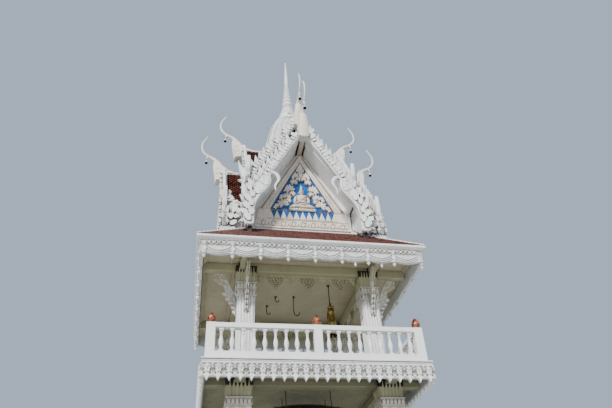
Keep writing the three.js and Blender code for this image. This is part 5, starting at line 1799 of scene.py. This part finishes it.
class ModelBell(bpy.types.Operator):
    """The hanging bell, the hooks under the ceiling, and the roped drum of the storey below"""

    bl_idname = "bell_tower.bell"
    bl_label = "Bell, hooks and drum"

    BELL_AT = (0.8, -0.93)
    RING = 8.76
    HOOKS = {
        "bell_hook": (0.8, -0.93, 8.78434 - 0.014, 0.06, 0.0),
        "centre_hook": (-0.03, -0.1, 8.88, 0.075, QUARTER),
        "left_hook": (-0.6, -0.06, 9.33, 0.045, QUARTER),
        "back_hook": (-0.79, 0.54, 9.21, 0.045, QUARTER),
    }
    # The underside of the ceiling that the hooks hang from.
    CEILING = 9.499
    DRUM_AT = (-0.04, -0.865, 5.53)
    # Half widths of the barrel and of the ropes where they pass below it, and the ropes' ends above.
    DRUM_WAIST, ROPE_HALF = 0.4645, 0.0135
    ROPE_TOP, ROPE_OUT = 6.279, 0.313
    STRANDS = 3

    def bell(self):
        """A tall tapered bell with bands, a lip, a crown and a clapper."""
        x, y = self.BELL_AT
        wall = turned([
            (0.0, 8.695), (0.06, 8.69), (0.086, 8.668), (0.1, 8.63), (0.104, 8.6), (0.11, 8.595),
            (0.11, 8.575), (0.107, 8.57), (0.115, 8.42), (0.125, 8.27), (0.131, 8.262), (0.131, 8.24),
            (0.128, 8.232), (0.136, 8.12), (0.14, 8.04), (0.145, 8.03), (0.145, 8.0), (0.142, 7.99),
            (0.146, 7.92), (0.146, 7.9), (0.132, 7.9), (0.128, 8.06), (0.088, 8.59), (0.05, 8.63), (0, 8.64),
        ], 28)
        disc = turned([(0, 8.688), (0.124, 8.688), (0.128, 8.694), (0.124, 8.702), (0.05, 8.704),
            (0.03, 8.715), (0, 8.715)], 24)
        ring = tube([(u, 0, self.RING + v) for u, v in circle(0.06, 20)], 0.0155, 8, closed=True)
        post = tube([(0.105, 0, 8.7), (0.108, 0, 8.76), (0.09, 0, 8.785), (0.06, 0, 8.79)], 0.007, 6)
        posts = all_round(post, 0.5)
        hoop = tube([(u, v, 8.745) for u, v in circle(0.106, 24)], 0.006, 6, closed=True)
        tongue = turned([(0, 7.862), (0.022, 7.868), (0.03, 7.89), (0.024, 7.912), (0.008, 7.93),
            (0.007, 8.645), (0, 8.646)], 12)
        ribs = all_round(tube([(0.112, 0, 8.56), (0.128, 0, 8.28)], 0.0055, 6))
        body = [*[rounded(part) for part in (wall, disc)], ring, posts, hoop, rounded(tongue), ribs]
        brass = coated(joined(body), "brass")
        moved(brass, shift(x, y))
        set_down(brass, "bell_work", ["bell"], body="bell")

    def hook(self, name):
        """A forged hook: ceiling plate, shank, bend and drawn-out tip."""
        x, y, low, bend, turn = self.HOOKS[name]
        top = self.CEILING - low
        arc = [(0, bend * cos(a), bend - bend * sin(a)) for a in [pi * k / 12 for k in range(13)]]
        tip = [(0, -bend * 1.02, bend * 1.3), (0, -bend * 1.12, bend * 1.65), (0, -bend * 1.3, bend * 1.85)]
        bow = 0.0 if name == "bell_hook" else 0.02
        shank = [(0, bend + bow * sin(pi * k / 6), bend + (top - bend) * (1 - k / 6)) for k in range(6)]
        line = [*shank, *arc, *tip]
        thick = [0.013] * (len(line) - 3) + [0.011, 0.008, 0.005]
        bar = tube(line, thick, 8)
        flange = turned([(0, top - 0.012), (0.042, top - 0.012), (0.045, top - 0.006), (0.045, top),
            (0, top)], 12, (0, bend, 0))
        eye = tube([(u, bend, top - 0.034 + v) for u, v in circle(0.022, 12)], 0.007, 6, closed=True)
        nuts = spread(turned([(0, top - 0.02), (0.009, top - 0.02), (0.009, top - 0.01), (0, top - 0.01)],
            6), [shift(0.028 * cos(a), bend + 0.028 * sin(a)) for a in (0.8, 2.4, 3.9, 5.5)])
        piece = coated(rounded(joined([bar, flange, eye, nuts])), "iron")
        moved(piece, shift(x, y, low) @ spun(turn))
        set_down(piece, name + "_work", [name])

    def drum(self):
        """A barrel of staves with hide heads, pegs and rings, slung on two rope loops."""
        profile = [(0, -0.862), (0.4, -0.862), (0.418, -0.868), (0.43, -0.855), (0.434, -0.82),
            (0.428, -0.8), (0.445, -0.7), (0.484, -0.42), (0.496, -0.2), (0.4995, 0.0)]
        profile += [(r, -z) for r, z in reversed(profile[:-1])]
        barrel = coated(rounded(turned(profile, 36)), "wood")
        heads = []
        for way in (-1, 1):
            head = turned([(0, 0.857 * way), (0.3, 0.86 * way), (0.412, 0.869 * way), (0.435, 0.862 * way),
                (0.4365, 0.8 * way), (0.433, 0.79 * way), (0.4, 0.8 * way), (0, 0.81 * way)], 36)
            peg = turned([(0, 0), (0.011, 0.002), (0.013, 0.012), (0.008, 0.02), (0, 0.022)], 6)
            moved(peg, shift(0.433, 0, 0.8 * way) @ spun(QUARTER, "Y"))
            heads += [rounded(head), spread(peg, [spun(k * 2 * pi / 40) for k in range(40)])]
        heads = coated(joined(heads), "hide")
        place = shift(*self.DRUM_AT) @ spun(QUARTER, "Y")
        set_down(moved(barrel, place), "drum_work", ["drum"])
        set_down(moved(heads, place), "drum_heads")
        for name, offset in (("drum_rope_left", -0.57), ("drum_rope_right", 0.57)):
            self.rope(name, offset)

    def rope(self, name, offset):
        """A loop of three twisted strands that goes up from under the barrel on both sides."""
        x, y, z = self.DRUM_AT
        low, top = self.DRUM_WAIST + self.ROPE_HALF, self.ROPE_TOP - z
        side = [(self.ROPE_OUT, top), (0.345, top * 0.66), (0.4, top * 0.4), (0.452, 0.17)]
        arc = [(low * cos(a), low * sin(a)) for a in [0.25 - (pi + 0.5) * k / 24 for k in range(25)]]
        loop = [*side[:-1], *arc, *[(-u, v) for u, v in reversed(side[:-1])]]
        twist = []
        line = smooth([(0, u, v) for u, v in loop], 3)
        for strand in range(self.STRANDS):
            points = []
            for k, (_, u, v) in enumerate(line):
                ahead = Vector(line[min(k + 1, len(line) - 1)]) - Vector(line[max(k - 1, 0)])
                off = Vector((1, 0, 0)).cross(ahead.normalized())
                angle = k * 0.85 + strand * 2 * pi / self.STRANDS
                aside = cos(angle) * Vector((1, 0, 0)) + sin(angle) * off
                points.append(tuple(Vector((0, u, v)) + 0.0062 * aside))
            twist.append(tube(points, 0.0068, 6))
        rope = coated(rounded(joined(twist), 60), "rope")
        set_down(moved(rope, shift(x + offset, y, z)), name + "_work", [name])

    def execute(self, context):
        self.bell()
        for name in self.HOOKS:
            self.hook(name)
        self.drum()
        return {"FINISHED"}


class PaintSolids(bpy.types.Operator):
    """Finishes for the solids that stay: plinth, gable walls and pediments, with the plinth's nosings"""

    bl_idname = "bell_tower.solids"
    bl_label = "Walls and plinth"

    def execute(self, context):
        coated(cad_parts["plinth"], "smooth_white")
        coated(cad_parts["gable_core"], "white")
        for side in SIDES:
            coated(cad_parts[f"pediment_{side}"], "plaster")
        nosing = edge_ring([(2.6, 0.262), (2.7, 0.262), (2.705, 0.275), (2.705, 0.29), (2.695, 0.3005),
            (2.6, 0.3005)])
        toe = edge_ring([(2.78, 0.112), (2.872, 0.112), (2.878, 0.125), (2.878, 0.14), (2.868, 0.1505),
            (2.78, 0.1505)])
        set_down(coated(joined([nosing, toe]), "smooth_white"), "plinth_nosings")
        return {"FINISHED"}


class SetStage(bpy.types.Operator):
    """The pale floor, the soft light and the camera at the viewing point of the picture"""

    bl_idname = "bell_tower.stage"
    bl_label = "Stage"

    EYE = (-2.772, -14.746, 1.6)
    YAW, PITCH, ROLL = 0.218, 0.654, -0.067
    # The focal length as a share of the picture's width.
    LENS_SHARE = 549.065 / 612
    SENSOR = 36.0
    FLOOR_SIZE, FLOOR_DROP = 160, 0.004
    SUN_STRENGTH, SUN_WAY, SUN_SIZE, SUN_TINT = 5.2, (0.42, 0.72, -0.55), 0.14, (1.0, 0.965, 0.91)
    SKY_STRENGTH, SKY_TINT = 0.8, (0.56, 0.68, 0.84, 1)

    def camera(self):
        right = Vector((cos(self.YAW), -sin(self.YAW), 0))
        ahead = Vector((sin(self.YAW) * cos(self.PITCH), cos(self.YAW) * cos(self.PITCH), sin(self.PITCH)))
        up = right.cross(ahead)
        side = cos(self.ROLL) * right + sin(self.ROLL) * up
        top = cos(self.ROLL) * up - sin(self.ROLL) * right
        data = bpy.data.cameras.new("camera")
        data.sensor_width = self.SENSOR
        data.lens = self.LENS_SHARE * self.SENSOR
        data.clip_end = 500
        camera = bpy.data.objects.new("camera", data)
        turn = Matrix((side, top, -ahead)).transposed().to_4x4()
        camera.matrix_world = Matrix.Translation(self.EYE) @ turn
        bpy.context.scene.collection.objects.link(camera)
        bpy.context.scene.camera = camera

    def sun(self):
        data = bpy.data.lights.new("sun", "SUN")
        data.energy = self.SUN_STRENGTH
        data.color = self.SUN_TINT
        data.angle = self.SUN_SIZE
        lamp = bpy.data.objects.new("sun", data)
        lamp.rotation_euler = Vector(self.SUN_WAY).to_track_quat("-Z", "Y").to_euler()
        bpy.context.scene.collection.objects.link(lamp)

    def execute(self, context):
        settle()
        bpy.ops.mesh.primitive_plane_add(size=self.FLOOR_SIZE, location=(0, 0, -self.FLOOR_DROP))
        floor = bpy.context.object
        floor.name = "floor"
        floor.data.materials.append(FINISHES["floor"])
        self.sun()
        world = bpy.data.worlds.new("sky")
        world.use_nodes = True
        backdrop = world.node_tree.nodes["Background"]
        backdrop.inputs["Color"].default_value = self.SKY_TINT
        backdrop.inputs["Strength"].default_value = self.SKY_STRENGTH
        context.scene.world = world
        self.camera()
        return {"FINISHED"}


class TowerPanel(bpy.types.Panel):
    """Lists the tower's pieces and sizes"""

    bl_idname = "VIEW3D_PT_bell_tower"
    bl_label = "Temple Bell Tower"
    bl_space_type = "VIEW_3D"
    bl_region_type = "UI"
    bl_category = "Bell Tower"

    def draw(self, context):
        for name in TowerLook.__annotations__:
            self.layout.prop(context.scene.bell_tower, name)
        for step in STEPS:
            self.layout.operator(step.bl_idname)


FINISHES = {}
STEPS = [
    ModelFloors, ModelRailings, ModelColumns, ModelCeiling, ModelEaves, ModelRoofs, ModelGables, ModelHorns,
    ModelPediments, ModelSpire, ModelBell, PaintSolids, SetStage,
]
CLASSES = [TowerLook, *STEPS, TowerPanel]


def register():
    for item in CLASSES:
        bpy.utils.register_class(item)
    bpy.types.Scene.bell_tower = PointerProperty(type=TowerLook)


def unregister():
    del bpy.types.Scene.bell_tower
    for item in reversed(CLASSES):
        bpy.utils.unregister_class(item)


def main():
    register()
    FINISHES.update(mix_finishes(bpy.context.scene.bell_tower))
    for step in STEPS:
        area, name = step.bl_idname.split(".")
        if getattr(getattr(bpy.ops, area), name)() != {"FINISHED"}:
            raise RuntimeError(f"{step.bl_label} could not be made")


if __name__ == "__main__":
    main()
